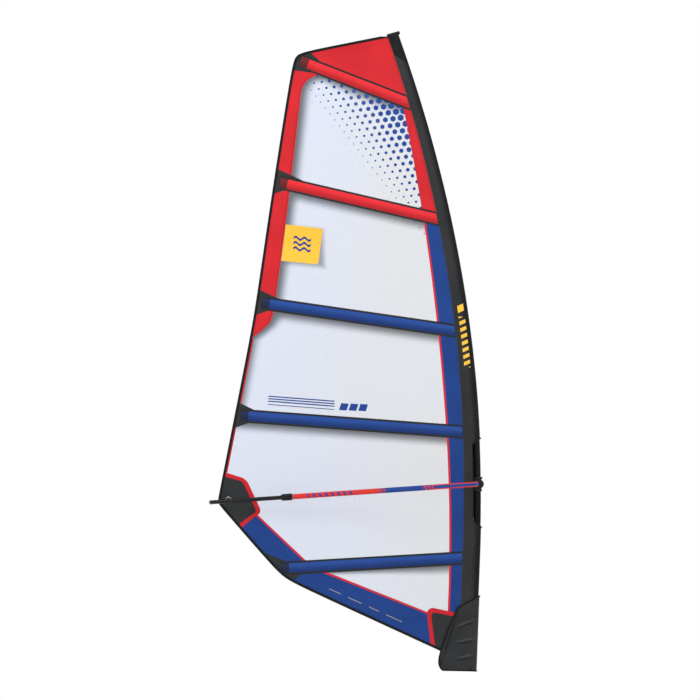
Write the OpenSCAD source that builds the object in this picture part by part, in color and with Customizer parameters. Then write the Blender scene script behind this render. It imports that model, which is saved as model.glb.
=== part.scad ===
// Windsurf sail rig: mast and extension, battened sail, wishbone boom.
// Millimetres. +Z runs up the straight lower mast, +X points forward, the sail lies aft (-X).
// The origin is the mouth of the base socket, on the mast axis.

/* [Mast] */
// Outside diameter of the mast's parallel section
mast_d = 48; // [46:0.5:48]
// Outside diameter at the mast tip
mast_tip_d = 22; // [20:1:26]
// Height of the mast's lower end
mast_foot_z = 340; // [330:10:380]
// Height where the two mast halves meet
mast_joint_z = 2250; // [2000:50:2500]
// How far the tip is bent aft
bend_tip = 681; // [600:5:700]
// Wall of the lower mast half
mast_wall = 5.8; // [5:0.1:6]

/* [Extension] */
// Outside diameter of the extension tube
ext_d = 36; // [34:0.1:36]
// Length of extension tube inside the mast
ext_insert = 210; // [120:10:260]
// Diameter of the base socket
socket_d = 16.2; // [14:0.1:17]
// Depth of the base socket
socket_depth = 42; // [30:1:44]
// Height of the moulded base
base_h = 78; // [74:1:100]

/* [Sail] */
// Greatest depth of the sail's camber, as a share of its chord
camber = 0.035; // [0.02:0.005:0.04]
// Thickness of a window or cloth panel
sheet_t = 1.2; // [0.8:0.1:1.2]
// Gap left between neighbouring panels
seam_gap = 0.6; // [0.5:0.1:1]
// Width of the binding on the leech and foot
hem_w = 16; // [10:1:20]
// Width of a batten pocket with its edge tapes
pocket_w = 80; // [60:1:84]
// Diameter of a batten
batten_d = 8; // [6:0.5:8]

/* [Boom] */
// Height of the boom at the mast
boom_z = 1286; // [1270:1:1300]
// Downward slope of the boom towards the tail
boom_slope = 6.1; // [5.5:0.1:6.5]
// Outside diameter of the boom arms
arm_d = 31; // [30.6:0.1:31]
// Outside diameter of the grip on the arms
grip_d = 35.4; // [35:0.2:37]
// Outside diameter of the tail tube
tail_d = 28; // [27:0.2:28]
// Half of the greatest width between the arms
boom_half_w = 235; // [220:5:250]
// Half of the distance between the tail's legs
tail_half_w = 82; // [80:1:90]
// Distance from the mast to the middle of the tail's cross tube
tail_u = 1831; // [1825:1:1860]
// Length of tail tube hidden inside the arms
tail_insert = 330; // [250:10:330]

/* [Hidden] */
$fn = 48;

red = "#cf2f34";
blue = "#24448a";
black = "#37393a";
film = "#dfe5f3";
alloy = "#b9bdc2";
moulding = "#1b1c1e";

// ------------------------------------------------------------------ curves of the mast
bend_start_z = 800;   // the mast is straight below this
bend_ref_z = 4340;    // bend_tip is reached here
bend_power = 2.06;
taper_z = 1900;       // the mast is parallel below this
mast_top_z = 4322;
tip_wall = 2.5;

function lerp(a, b, t) = a + (b - a) * t;
// Forward offset of the mast axis at a height (negative is aft).
function mast_x(z) =
  -bend_tip * pow(max(0, z - bend_start_z) / (bend_ref_z - bend_start_z), bend_power);
// Angle of the mast axis from +Z, about Y.
function mast_tilt(z) = atan((mast_x(z + 1) - mast_x(z - 1)) / 2);
function mast_r(z) =
  lerp(mast_d, mast_tip_d, max(0, z - taper_z) / (mast_top_z - taper_z)) / 2;
function mast_bore_r(z) = mast_r(z)
  - lerp(mast_wall, tip_wall, max(0, z - mast_joint_z) / (mast_top_z - mast_joint_z));

// ------------------------------------------------------------------ outline of the sail
// Smooth greater of two values, rounded over about r.
function soft_max(a, b, r) = (a + b + sqrt((a - b) * (a - b) + r * r)) / 2;

// Leech: straight and steep below the knee, hollowing slightly towards the head.
leech_knee_z = 2380;
function leech_x(z) = let (d = z - leech_knee_z)
  -1584 + 0.0985 * d + 0.0000068 * pow(max(0, d), 2) - 0.061 * soft_max(0, -d, 200);
// Foot: two straight lines blended at a knee. w moves the edge inward.
foot_knee_z = 586;
function foot_x(z, w) = let (d = foot_knee_z - z, r = 40, bend = (1 + d / sqrt(d * d + r * r)) / 2)
  -1321 + 0.935 * d + 1.485 * soft_max(0, d, r) + w * lerp(1.369, 2.618, bend);
// Head: one straight line from the leech corner up to the tip.
function head_x(z, w) = -749 + 4.26 * (z - 4341) + 4.376 * w;
// The whole aft outline, moved inward by w.
function outline_x(z, w = 0) =
  soft_max(soft_max(leech_x(z) + w, foot_x(z, w), 16), head_x(z, w), 96);

// Depth of the camber in +Y. It is zero at the luff and at the outline.
camber_start = 40;    // the sail leaves the mast this far behind its axis
function camber_y(x, z) = let (
    zc = max(z, 120),
    luff = mast_x(zc) - camber_start,
    chord = luff - outline_x(zc),
    s = min(1, max(0, (luff - x) / chord)),
    foot_fade = min(1, 0.25 + zc / 1400),
    head_fade = 1 - 0.45 * max(0, zc - 2800) / 1500
  ) camber * chord * foot_fade * head_fade * s * pow(1 - s, 1.5) / 0.186;

// Distance from the mast axis back to the rear seam of the mast sleeve.
function sleeve_back(z) =
  73 + 25.5 * pow(1 - min(1, max(0, z - 1200) / 3140), 1.5);
function sleeve_aft_x(z) = mast_x(z) - sleeve_back(z);
// Inner edge of the coloured strip along the luff.
function luff_edge_x(z) = mast_x(z) - (z < 1950
  ? 206 - 25 * pow(1 - max(0, z - 600) / 1350, 1.5)
  : 206 - 0.0000245 * pow(z - 1950, 2));
// Inner edge of the leech panel, with the rounded window corner at the top.
leech_panel_end_z = 2385;
corner_z = 3920;
corner_r = 130;
function leech_inner_x(z) = outline_x(z)
  + (z > leech_panel_end_z ? 131 - 42 * pow((z - leech_panel_end_z) / 1574, 2)
     : 131 * sqrt(max(0, 1 - pow((leech_panel_end_z - z) / 180, 2))))
  + corner_r - sqrt(pow(corner_r, 2) - pow(min(corner_r * 0.995, max(0, z - corner_z)), 2));
// Inner edges of the foot panel, above and below the lowest batten.
function foot_inner_a(z) = -1201 - 1.14 * (z - 747);
function foot_inner_b(z) = -671 - 2.82 * (z - 520);

// Battens: height at the leech end and at the sleeve, from the head down.
batten_leech_z = [4129, 3299, 2469, 1693, 660];
batten_luff_z = [3882, 3094, 2331, 1640, 775];
batten_inset = 60;
function batten_slope(i) =
  let (za = batten_leech_z[i], zb = batten_luff_z[i])
  (zb - za) / (sleeve_aft_x(zb) - outline_x(za, batten_inset));
// Height of batten i's line at x, moved up by w square to the batten.
function batten_z(i, x, w = 0) = let (zb = batten_luff_z[i], m = batten_slope(i))
  zb + m * (x - sleeve_aft_x(zb)) + w * sqrt(1 + m * m);
function above(i) = function (x) batten_z(i, x, pocket_w / 2 + seam_gap);
function below(i) = function (x) batten_z(i, x, -pocket_w / 2 - seam_gap);
function level(z) = function (x) z;

// Height where an edge (x from z) crosses a line (z from x).
function meet(edge, line, z0 = 60, z1 = 4330, n = 26) = let (m = (z0 + z1) / 2)
  n == 0 ? m
  : m > line(edge(m)) ? meet(edge, line, z0, m, n - 1)
  : meet(edge, line, m, z1, n - 1);

// ------------------------------------------------------------------ mesh helpers
// A cambered sheet between two edges and two lines. lift moves it off the sail's middle surface.
module sheet(edge_l, edge_r, line_lo, line_hi, nx = 6, nz = 6, t = sheet_t, lift = 0, rows = []) {
  zl0 = meet(edge_l, line_lo);
  zl1 = meet(edge_l, line_hi);
  zr0 = meet(edge_r, line_lo);
  zr1 = meet(edge_r, line_hi);
  vs = len(rows) > 0 ? rows : [for (j = [0:nz]) j / nz];
  m = len(vs) - 1;
  function at(i, j, side) = let (
      zl = lerp(zl0, zl1, vs[j]), zr = lerp(zr0, zr1, vs[j]),
      x = lerp(edge_l(zl), edge_r(zr), i / nx), z = lerp(zl, zr, i / nx)
    ) [x, camber_y(x, z) + lift + side * t / 2, z];
  pts = [for (side = [-1, 1]) for (j = [0:m]) for (i = [0:nx]) at(i, j, side)];
  back = (nx + 1) * (m + 1);
  function id(i, j) = j * (nx + 1) + i;
  faces = [
    for (j = [0:m - 1]) for (i = [0:nx - 1])
      let (a = id(i, j), b = id(i, j + 1), c = id(i + 1, j + 1), d = id(i + 1, j))
      each [[a, b, c], [a, c, d], [back + a, back + c, back + b], [back + a, back + d, back + c]],
    for (i = [0:nx - 1]) let (a = id(i, 0), d = id(i + 1, 0), b = id(i, m), c = id(i + 1, m))
      each [[a, d, back + d], [a, back + d, back + a], [c, b, back + b], [c, back + b, back + c]],
    for (j = [0:m - 1]) let (a = id(0, j), b = id(0, j + 1), d = id(nx, j), c = id(nx, j + 1))
      each [[b, a, back + a], [b, back + a, back + b], [d, c, back + c], [d, back + c, back + d]]
  ];
  polyhedron(pts, faces);
}

// The same sheet on both faces of the sail.
module sheet_pair(edge_l, edge_r, line_lo, line_hi, nx, nz, t, lift, rows = []) {
  for (side = [-1, 1])
    sheet(edge_l, edge_r, line_lo, line_hi, nx, nz, t, side * lift, rows);
}

// A solid through rings of equal size, each counter-clockwise about the sweep's direction.
module loft(rings) {
  n = len(rings[0]);
  m = len(rings) - 1;
  faces = [
    [for (i = [0:n - 1]) i],
    [for (i = [n - 1:-1:0]) m * n + i],
    for (k = [0:m - 1]) for (i = [0:n - 1])
      let (a = k * n + i, b = k * n + (i + 1) % n)
      each [[a, a + n, b + n], [a, b + n, b]]
  ];
  polyhedron([for (r = rings) each r], faces);
}

// A wall between outer and inner rings. closed = false leaves a slot between its last and first point.
module shell(outer, inner, closed = true) {
  n = len(outer[0]);
  m = len(outer) - 1;
  o = n * (m + 1);
  last = closed ? n - 1 : n - 2;
  faces = [
    for (k = [0:m - 1]) for (i = [0:last]) let (a = k * n + i, b = k * n + (i + 1) % n)
      each [[a, a + n, b + n], [a, b + n, b], [o + a, o + b + n, o + a + n], [o + a, o + b, o + b + n]],
    for (i = [0:last]) let (a = i, b = (i + 1) % n, c = m * n + a, d = m * n + b)
      each [[a, b, o + b], [a, o + b, o + a], [c, o + c, o + d], [c, o + d, d]],
    if (!closed) for (k = [0:m - 1]) let (a = k * n, b = k * n + n - 1)
      each [[a + n, a, o + a], [a + n, o + a, o + a + n], [b, b + n, o + b + n], [b, o + b + n, o + b]]
  ];
  polyhedron([each [for (r = outer) each r], each [for (r = inner) each r]], faces);
}

// A ring of n points of radius r round the mast axis at height z.
function mast_ring(z, r, n) = let (q = mast_tilt(z))
  [for (i = [0:n - 1]) let (a = 360 * i / n)
    [mast_x(z) + r * cos(a) * cos(q), r * sin(a), z - r * cos(a) * sin(q)]];

// A teardrop round the mast: a round nose of radius r, straight sides meeting at distance back.
// The first point is the rear tip. open > 0 cuts the tip away and leaves that half gap there.
function teardrop(r, back, n) = let (phi = acos(r / back))
  [[-back, 0], for (i = [0:n]) let (a = (180 - phi) * (2 * i / n - 1)) [r * cos(a), r * sin(a)]];
function on_rig(p, z) = let (x = mast_x(z) + p[0]) [x, p[1] + camber_y(x, z), z];

// Rings for a straight-sided bar along batten i, from x0 to x1, with a section in [up, out].
function batten_rings(i, x0, x1, section, n) = let (m = batten_slope(i), k = sqrt(1 + m * m))
  [for (j = [0:n]) let (x = lerp(x0, x1, j / n), z = batten_z(i, x), y = camber_y(x, z))
    [for (p = section) [x - p[0] * m / k, y + p[1], z + p[0] / k]]];
function round_section(r, n) = [for (i = [0:n - 1]) [r * sin(-360 * i / n), r * cos(-360 * i / n)]];

// ------------------------------------------------------------------ mast and extension
tube_r = ext_d / 2;
tube_wall = 2.5;
tube_seat_z = 50;
hole_pitch = 20;
collar_hole_z = 310;
base_r = 26;
sheave_x = -50;
sheave_z = 34;
sheave_r = 10;
sheave_w = 8;
sheave_pitch = 11;
axle_r = 2.5;

module sheave(r, w, bore_r) {
  rotate_extrude() polygon([
    [bore_r, -w / 2], [r, -w / 2], [r, -w / 2 + 1.2], [r - 2.6, 0], [r, w / 2 - 1.2], [r, w / 2],
    [bore_r, w / 2]
  ]);
}

module base_housing() {
  color(moulding) difference() {
    union() {
      cylinder(r = base_r, h = base_h);
      translate([sheave_x - 16, -21, 14]) cube([46, 42, 44]);
    }
    translate([0, 0, -1]) cylinder(d = socket_d, h = socket_depth + 1);
    translate([0, 0, tube_seat_z]) cylinder(r = tube_r + 0.05, h = base_h);
    for (k = [-1:1]) translate([sheave_x - 20, k * sheave_pitch - sheave_w / 2 - 0.5, 20])
      cube([33.5, sheave_w + 1, 30]);
    translate([sheave_x, 0, sheave_z]) rotate([90, 0, 0]) cylinder(r = axle_r, h = 60, center = true);
    translate([0, -base_r - 2, 21]) rotate([-90, 0, 0]) cylinder(r = 6.1, h = 17);
  }
}

module base_release_button() {
  color(red) translate([0, -base_r - 1.4, 21]) rotate([-90, 0, 0]) {
    cylinder(r = 6, h = 9);
    translate([0, 0, 9]) cylinder(r = 4, h = 1.5);
  }
}

module base_sheaves() {
  color(alloy) for (k = [-1:1]) translate([sheave_x, k * sheave_pitch, sheave_z])
    rotate([90, 0, 0]) sheave(sheave_r, sheave_w, axle_r + 0.05);
}

module base_sheave_axle() {
  color(alloy) translate([sheave_x, 0, sheave_z]) rotate([90, 0, 0])
    cylinder(r = axle_r, h = 42, center = true);
}

module extension_tube() {
  top = mast_foot_z + ext_insert;
  color(alloy) difference() {
    translate([0, 0, tube_seat_z]) cylinder(r = tube_r, h = top - tube_seat_z);
    translate([0, 0, tube_seat_z - 1]) cylinder(r = tube_r - tube_wall, h = top);
    for (z = [collar_hole_z - 8 * hole_pitch:hole_pitch:top - 20])
      translate([0, 0, z]) rotate([90, 0, 0]) cylinder(r = 3.1, h = 60, center = true);
  }
}

module extension_collar() {
  color(moulding) difference() {
    rotate_extrude() polygon([
      [tube_r + 0.1, 290], [21.5, 290], [22.5, 291], [22.5, mast_foot_z - 9], [24, mast_foot_z - 7],
      [24, mast_foot_z], [tube_r + 0.1, mast_foot_z]
    ]);
    translate([0, 0, collar_hole_z]) rotate([90, 0, 0]) cylinder(r = 3, h = 60, center = true);
  }
}

module collar_pin() {
  color(alloy) translate([0, 0, collar_hole_z]) rotate([90, 0, 0]) {
    cylinder(r = 3, h = 46, center = true);
    translate([0, 0, 22.6]) cylinder(r = 4.4, h = 1.6);
    translate([0, 0, -24.2]) cylinder(r = 4.4, h = 1.6);
  }
}

mast_sides = 24;
plain_top_z = 760;

module mast_bottom() {
  bore = mast_d / 2 - mast_wall;
  color(moulding) {
    difference() {
      translate([0, 0, mast_foot_z]) cylinder(d = mast_d, h = plain_top_z - mast_foot_z);
      translate([0, 0, mast_foot_z - 1]) cylinder(r = bore, h = plain_top_z);
    }
    zs = [plain_top_z - 15, for (k = [0:11]) lerp(plain_top_z + 25, mast_joint_z, k / 11)];
    shell([for (z = zs) mast_ring(z, mast_r(z) - 0.1, mast_sides)],
          [for (z = zs) mast_ring(z, mast_bore_r(z) + 0.4, mast_sides)]);
  }
}

module mast_top() {
  zs = [for (k = [0:16]) lerp(mast_joint_z + 0.5, mast_top_z, k / 16)];
  color(moulding)
    shell([for (z = zs) mast_ring(z, mast_r(z) - 0.1, mast_sides)],
          [for (z = zs) mast_ring(z, mast_bore_r(z) + 0.4, mast_sides)]);
}

module mast_ferrule() {
  zs = [for (k = [-2:2]) mast_joint_z + k * 75];
  r = mast_bore_r(mast_joint_z + 150) - 0.6;
  color(alloy)
    shell([for (z = zs) mast_ring(z, r, 16)], [for (z = zs) mast_ring(z, r - 2, 16)]);
}

module mast_tip_plug() {
  r = mast_bore_r(mast_top_z) - 0.5;
  color(moulding) translate([mast_x(mast_top_z), 0, mast_top_z])
    rotate([0, mast_tilt(mast_top_z), 0]) rotate_extrude() polygon([
      [0, -30], [r - 1, -30], [r, -28], [r, 0.4], [mast_tip_d / 2 - 0.5, 0.4],
      [mast_tip_d / 2 - 0.5, 4], [mast_tip_d / 2 - 5, 9], [0, 11]
    ]);
}

// ------------------------------------------------------------------ sleeve and fairing
cloth_t = 1.5;
sleeve_slack = 1.2;     // from the mast to the cloth
sleeve_bottom_z = 200;
cutout_lo_z = 1020;
cutout_hi_z = 1580;
sleeve_top_z = 4316;
nose_pts = 13;

function sleeve_ring(z, inside) = let (r = mast_r(z) + sleeve_slack + (inside ? 0 : cloth_t))
  [for (p = teardrop(r, sleeve_back(z) - (inside ? 9 : 0), nose_pts)) on_rig(p, z)];

module sleeve(z0, z1, n) {
  zs = [for (k = [0:n]) lerp(z0, z1, k / n)];
  color(black)
    shell([for (z = zs) sleeve_ring(z, false)], [for (z = zs) sleeve_ring(z, true)]);
}

module sleeve_upper() { sleeve(cutout_hi_z + 0.5, sleeve_top_z, 22); }

module sleeve_lower() { sleeve(sleeve_bottom_z, cutout_lo_z - 0.5, 7); }

// The strip of sleeve behind the boom cut-out: two sides that meet at the rear seam.
module sleeve_bridge() {
  front = 31;
  zs = [for (k = [0:6]) lerp(cutout_lo_z, cutout_hi_z, k / 6)];
  function side(z, inside) = let (
      back = sleeve_back(z) - (inside ? 9 : 0), r = mast_r(z) + sleeve_slack + (inside ? 0 : cloth_t),
      slope = tan(asin(r / back)), half = (back - front) * slope
    ) [for (p = [[-front, half], [-back, 0], [-front, -half]]) on_rig(p, z)];
  color(black) shell([for (z = zs) side(z, false)], [for (z = zs) side(z, true)], false);
}

module tip_protector() {
  color(black) hull() {
    translate([-673, 0, 4357]) sphere(r = 13.5, $fn = 20);
    translate([-742, 0, 4339]) sphere(r = 9, $fn = 20);
  }
}

// Padded cover over the foot of the mast and the tack, open along its rear edge.
module tack_fairing() {
  wall = 4;
  nose = mast_d / 2 + sleeve_slack + cloth_t + 1.9;
  n = 14;
  levels = 8;
  function ring(k, inside) = let (
      v = k / levels,
      r = nose + (inside ? 0 : wall),
      back = lerp(258, 116, pow(v, 1.05)) - 60 * pow(1 - v, 14) - (inside ? 1 : 0),
      z_front = lerp(1, 521, v), fall = 0.56 * pow(v, 3) + 0.02,
      gap = inside ? 7.5 : 11
    ) [for (p = concat([[-back, -0.01]], [for (q = teardrop(r, back, n)) if (q[0] > -back) q], [[-back, 0.01]]))
      let (z = z_front + fall * (p[0] - r), share = min(1, max(0, -p[0] / back)),
           q = on_rig([p[0], p[1] + sign(p[1]) * gap * share], max(z, 0)))
      [q[0], q[1], z]];
  color(black)
    shell([for (k = [0:levels]) ring(k, false)], [for (k = [0:levels]) ring(k, true)], false);
}

// ------------------------------------------------------------------ panels of the sail
edge_in = 2;            // base panels stop this far inside the outline
panel_lo_z = 120;
panel_hi_z = 4306;
rim = function (z) outline_x(z, edge_in);
seam_sleeve = function (z) sleeve_aft_x(z) - seam_gap;
luff_seam_a = function (z) luff_edge_x(z) + seam_gap / 2;
luff_seam_b = function (z) luff_edge_x(z) - seam_gap / 2;
leech_seam_a = function (z) max(leech_inner_x(z) - seam_gap / 2, rim(z) + 3);
leech_seam_b = function (z) max(leech_inner_x(z) + seam_gap / 2, rim(z));
corner_rows = [0, 0.2, 0.4, 0.6, 0.72, 0.78, 0.82, 0.86, 0.9, 0.93, 0.96, 0.98, 1];

module head_panel() {
  color(red) sheet(rim, seam_sleeve, above(0), level(panel_hi_z), 6, 12);
}

module window_1() {
  color(film) sheet(leech_seam_b, luff_seam_b, above(1), below(0), 10, rows = corner_rows);
}

module window_2() { color(film) sheet(leech_seam_b, luff_seam_b, above(2), below(1), 12, 6); }

module window_3() {
  color(film) sheet(leech_seam_b, luff_seam_b, above(3), below(2), 12, 12);
}

module window_4() {
  color(film) sheet(function (z) max(rim(z), foot_inner_a(z) + seam_gap), luff_seam_b,
                    above(4), below(3), 12, 10);
}

window_5_lo = 352;
module window_5() {
  color(film) sheet(function (z) foot_inner_b(z) + seam_gap * 2, luff_seam_b,
                    level(window_5_lo), below(4), 6, 5);
}

module leech_panel() {
  color(red) {
    sheet(rim, leech_seam_a, above(1), below(0), 2, rows = corner_rows);
    sheet(rim, leech_seam_a, above(2), below(1), 2, 6);
    sheet(rim, leech_seam_a, level(2215), below(2), 2, 8);
  }
}

module luff_panel_red() {
  color(red) sheet(luff_seam_a, seam_sleeve, above(1), below(0), 1, rows = corner_rows);
}

module luff_panel_blue() {
  color(blue) {
    sheet(luff_seam_a, seam_sleeve, above(2), below(1), 2, 6);
    sheet(luff_seam_a, seam_sleeve, above(3), below(2), 2, 12);
    sheet(luff_seam_a, seam_sleeve, above(4), below(3), 2, 10);
    sheet(luff_seam_a, seam_sleeve, level(window_5_lo), below(4), 2, 5);
  }
}

patch_in = hem_w + 4;
patch_rim = function (z) outline_x(z, patch_in);
clew_ring_at = [-1714, 1115];
// The hole that the clew ring sits in.
module clew_hole() {
  translate([clew_ring_at[0], 0, clew_ring_at[1]]) rotate([90, 0, 0])
    cylinder(r = 21, h = 40, center = true);
}

foot_rows = [0, 0.3, 0.55, 0.7, 0.76, 0.8, 0.84, 0.88, 0.92, 0.96, 1];
module foot_panel() {
  color(blue) {
    difference() {
      sheet(rim, function (z) foot_inner_a(z), above(4), level(1225), 3, 9);
      clew_hole();
    }
    sheet(rim, function (z) foot_inner_b(z), level(window_5_lo), below(4), 3, rows = foot_rows);
    sheet(rim, seam_sleeve, level(panel_lo_z), level(window_5_lo - seam_gap), 8, 5);
  }
}

// Binding along the head, leech and foot, on both faces.
binding_z = [for (z = [120:60:480]) z, for (z = [500:14:682]) z, for (z = [720:80:1040]) z,
  for (z = [1056:12:1176]) z, for (z = [1200:230:3960]) z, for (z = [4040:20:4300]) z];
module sail_binding() {
  first = binding_z[0];
  last = binding_z[len(binding_z) - 1];
  color(moulding) sheet_pair(function (z) outline_x(z), function (z) outline_x(z, hem_w),
    level(first), level(last), 1, 1, 1, 1.4, [for (z = binding_z) (z - first) / (last - first)]);
}

module clew_patch() {
  module face_patch() {
    sheet_pair(patch_rim, function (z) -1594 - 0.513 * (z - 1255),
      function (x) 928 + 0.63 * (x + 1610), function (x) 1278 - 0.2 * (x + 1627), 5, 8, 1.6, 1.9);
  }
  color(black) difference() {
    face_patch();
    clew_hole();
  }
}

module clew_ring() {
  flange_r = 20.5;
  flange_y = 2.9;
  section = [[13, 3.5], [15, flange_y + 1.4], [18, flange_y + 1], [flange_r, flange_y]];
  color(alloy) translate([clew_ring_at[0], camber_y(clew_ring_at[0], clew_ring_at[1]), clew_ring_at[1]])
    rotate([90, 0, 0]) rotate_extrude()
      polygon(concat(section, [for (k = [3:-1:0]) [section[k][0], -section[k][1]]]));
}

module tack_patch() {
  color(black) sheet_pair(function (z) max(patch_rim(z), -303), function (z) seam_sleeve(z) - 1,
    level(132), function (x) 400 - 0.137 * (x + 141), 5, 6, 1.2, 1.7);
}

module sail_badge() {
  badge_w = 256;
  color("#fcc84a") sheet_pair(function (z) leech_inner_x(z) + 6,
    function (z) leech_inner_x(z) + badge_w, function (x) 2758 - 0.06 * (x + 1280),
    function (x) 3008 - 0.07 * (x + 1280), 3, 3, 0.8, 1.4);
}

// Triangles of dark cloth above and below each pocket's leech end, on both faces.
module leech_reinforcements() {
  reach = 170;
  half = 88;
  inner = pocket_w / 2 + 1;
  color(black) for (i = [1:4]) for (s = [-1, 1]) {
    near = function (x) batten_z(i, x, s * inner);
    far = function (x) batten_z(i, x, s * (half - 4));
    slant = function (z) let (x = patch_rim(z), w = s * (z - batten_z(i, x)))
      x + reach * min(1, max(0.02, (half - w) / (half - inner)));
    sheet_pair(patch_rim, slant, s > 0 ? near : far, s > 0 ? far : near, 2, 3, 0.8, 1.4);
  }
}

// ------------------------------------------------------------------ battens
pocket_edge = 1;
pocket_bulge = batten_d / 2 + 1.6;
pocket_cavity = batten_d / 2 + 0.6;
pocket_parts = 12;      // straight parts along each pocket
lowest_inset = 30;      // the lowest pocket starts this much further in, clear of the foot's slant
function pocket_start_x(i) = outline_x(batten_leech_z[i], hem_w + 22) + (i == 4 ? lowest_inset : 0);
function pocket_end_x(i) = sleeve_aft_x(batten_luff_z[i] + 20) - 18;
function batten_end_x(i) = let (z = batten_luff_z[i]) mast_x(z) - mast_r(z) - 6;

module batten_pocket(i) {
  w = pocket_w / 2;
  outer = [[-w, pocket_edge], [-10, pocket_bulge], [10, pocket_bulge], [w, pocket_edge],
           [w, -pocket_edge], [10, -pocket_bulge], [-10, -pocket_bulge], [-w, -pocket_edge]];
  inner = [[-10, 1], [-7, pocket_cavity], [7, pocket_cavity], [10, 1],
           [10, -1], [7, -pocket_cavity], [-7, -pocket_cavity], [-10, -1]];
  color(i < 2 ? red : blue)
    shell(batten_rings(i, pocket_start_x(i), pocket_end_x(i), outer, pocket_parts),
          batten_rings(i, pocket_start_x(i), pocket_end_x(i), inner, pocket_parts));
}

module batten(i) {
  color("#d8d2b8") loft(batten_rings(i, pocket_start_x(i) + 40, batten_end_x(i),
                                     round_section(batten_d / 2, 8), 12));
}

module batten_tensioners() {
  color(moulding) for (i = [0:4]) {
    first = pocket_start_x(i);
    step = (pocket_end_x(i) - first) / pocket_parts;
    y0 = camber_y(first, batten_z(i, first));
    y1 = camber_y(first + step, batten_z(i, first + step));
    x = first + 4;
    translate([x, lerp(y0, y1, 4 / step), batten_z(i, x)])
      rotate([0, -atan(batten_slope(i)), atan((y1 - y0) / step)]) {
        translate([0, -3.4, -6]) cube([24, 6.8, 12]);
        translate([24, 0, 0]) rotate([0, 90, 0]) cylinder(r = 2.8, h = 8);
      }
  }
}

// ------------------------------------------------------------------ tack pulley block
block_at = [-66, 160];
cheek_in = 6.6;
module tack_block() {
  color(alloy) translate([block_at[0], 0, block_at[1]]) {
    for (s = [-1, 1]) difference() {
      translate([-40, s > 0 ? cheek_in : -cheek_in - 2.4, -14]) cube([52, 2.4, 28]);
      rotate([90, 0, 0]) cylinder(r = axle_r, h = 60, center = true);
    }
    rotate([90, 0, 0]) cylinder(r = axle_r, h = 2 * cheek_in + 4.8, center = true);
    for (dz = [-8, 8]) translate([-36, 0, dz]) rotate([90, 0, 0])
      cylinder(r = 2.5, h = 2 * cheek_in + 4.8, center = true);
  }
}

module tack_sheaves() {
  color(moulding) translate([block_at[0], 0, block_at[1]]) for (s = [-1, 1])
    translate([0, s * 3.3, 0]) rotate([90, 0, 0]) sheave(10.5, 5.8, axle_r + 0.05);
}

// ------------------------------------------------------------------ boom
pivot = [mast_x(boom_z), 0, boom_z];
module in_mast_frame() {
  translate(pivot) rotate([0, mast_tilt(boom_z), 0]) children();
}
module in_boom_frame() {
  translate(pivot) rotate([0, -boom_slope, 0]) children();
}
clamp_r = mast_d / 2 + 1.5;
clamp_h = 100;
rim_z = 36;
trunnion_r = 8;
lever_at = [31, 18];     // pivot of the lever in the clamp's own frame
lever_pin_r = 2;

module mast_clamp() {
  color(moulding) in_mast_frame() {
    difference() {
      union() {
        intersection() {
          rotate_extrude() polygon([
            [clamp_r, -clamp_h / 2], [30, -clamp_h / 2], [31, -clamp_h / 2 + 1], [31, -rim_z],
            [28.5, -rim_z + 1.5], [28.5, rim_z - 1.5], [31, rim_z], [31, clamp_h / 2 - 1],
            [30, clamp_h / 2], [clamp_r, clamp_h / 2]
          ]);
          translate([-14, -60, -60]) cube([80, 120, 120]);
        }
        rotate([90, 0, 0]) cylinder(r = trunnion_r, h = 90, center = true);
        for (z = [rim_z, clamp_h / 2 - 2]) hull() {
          translate([lever_at[0], lever_at[1], z]) cylinder(r = 4.2, h = 2);
          translate([24, 14, z]) cylinder(r = 4, h = 2);
        }
      }
      cylinder(r = clamp_r, h = 200, center = true);
    }
    translate([lever_at[0], lever_at[1], rim_z]) cylinder(r = lever_pin_r, h = clamp_h / 2 - rim_z);
  }
}

module clamp_strap() {
  color(moulding) in_mast_frame() intersection() {
    difference() {
      cylinder(r = clamp_r + 2, h = 84, center = true);
      cylinder(r = clamp_r, h = 90, center = true);
    }
    translate([-64.1, -60, -60]) cube([50, 120, 120]);
  }
}

module clamp_lever() {
  z0 = rim_z + 2.4;
  h = clamp_h / 2 - 2.4 - z0;
  color(red) in_mast_frame() difference() {
    union() {
      translate([lever_at[0], lever_at[1], z0]) cylinder(r = 4, h = h);
      rotate([0, 0, 33]) translate([0, 0, z0])
        rotate_extrude(angle = 85) translate([32.2, 0]) square([3.6, h]);
    }
    translate([lever_at[0], lever_at[1], 0]) cylinder(r = lever_pin_r + 0.05, h = 100);
    cylinder(r = 32, h = 200, center = true);
  }
}

head_r = 33;
head_at = 12;            // the head's centre is this far ahead of the mast axis
ear_y = 46;
arm_start = [-6, 48];
arm_turn_y = 66;         // where the arm begins to curve aft
belly_u = -430;
straight_u = -1000;
arm_end_u = -1335;

module boom_head() {
  corner = 9;
  color(moulding) in_boom_frame() difference() {
    union() {
      translate([head_at, 0, 0]) rotate([90, 0, 0]) rotate_extrude() polygon([
        [0, -ear_y], [head_r - corner, -ear_y],
        for (a = [-60:30:60]) [head_r - corner + corner * cos(a), 0] + [0, sign(a) * (ear_y - corner)]
          + [0, corner * sin(a)],
        [head_r - corner, ear_y], [0, ear_y]
      ]);
      for (s = [-1, 1]) translate([arm_start[0], s * (ear_y - 6), 0]) rotate([-90 * s, 0, 0])
        cylinder(r = 19, h = 22);
    }
    rotate([0, mast_tilt(boom_z) + boom_slope, 0]) cylinder(r = 32, h = 120, center = true);
    translate([-80, -32, -60]) cube([80, 64, 120]);
    rotate([90, 0, 0]) cylinder(r = trunnion_r + 0.06, h = 2 * 45.4, center = true);
    for (s = [-1, 1]) translate([arm_start[0], s * 47.4, 0]) rotate([-90 * s, 0, 0])
      cylinder(r = arm_d / 2 + 0.15, h = 30);
  }
}

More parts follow.
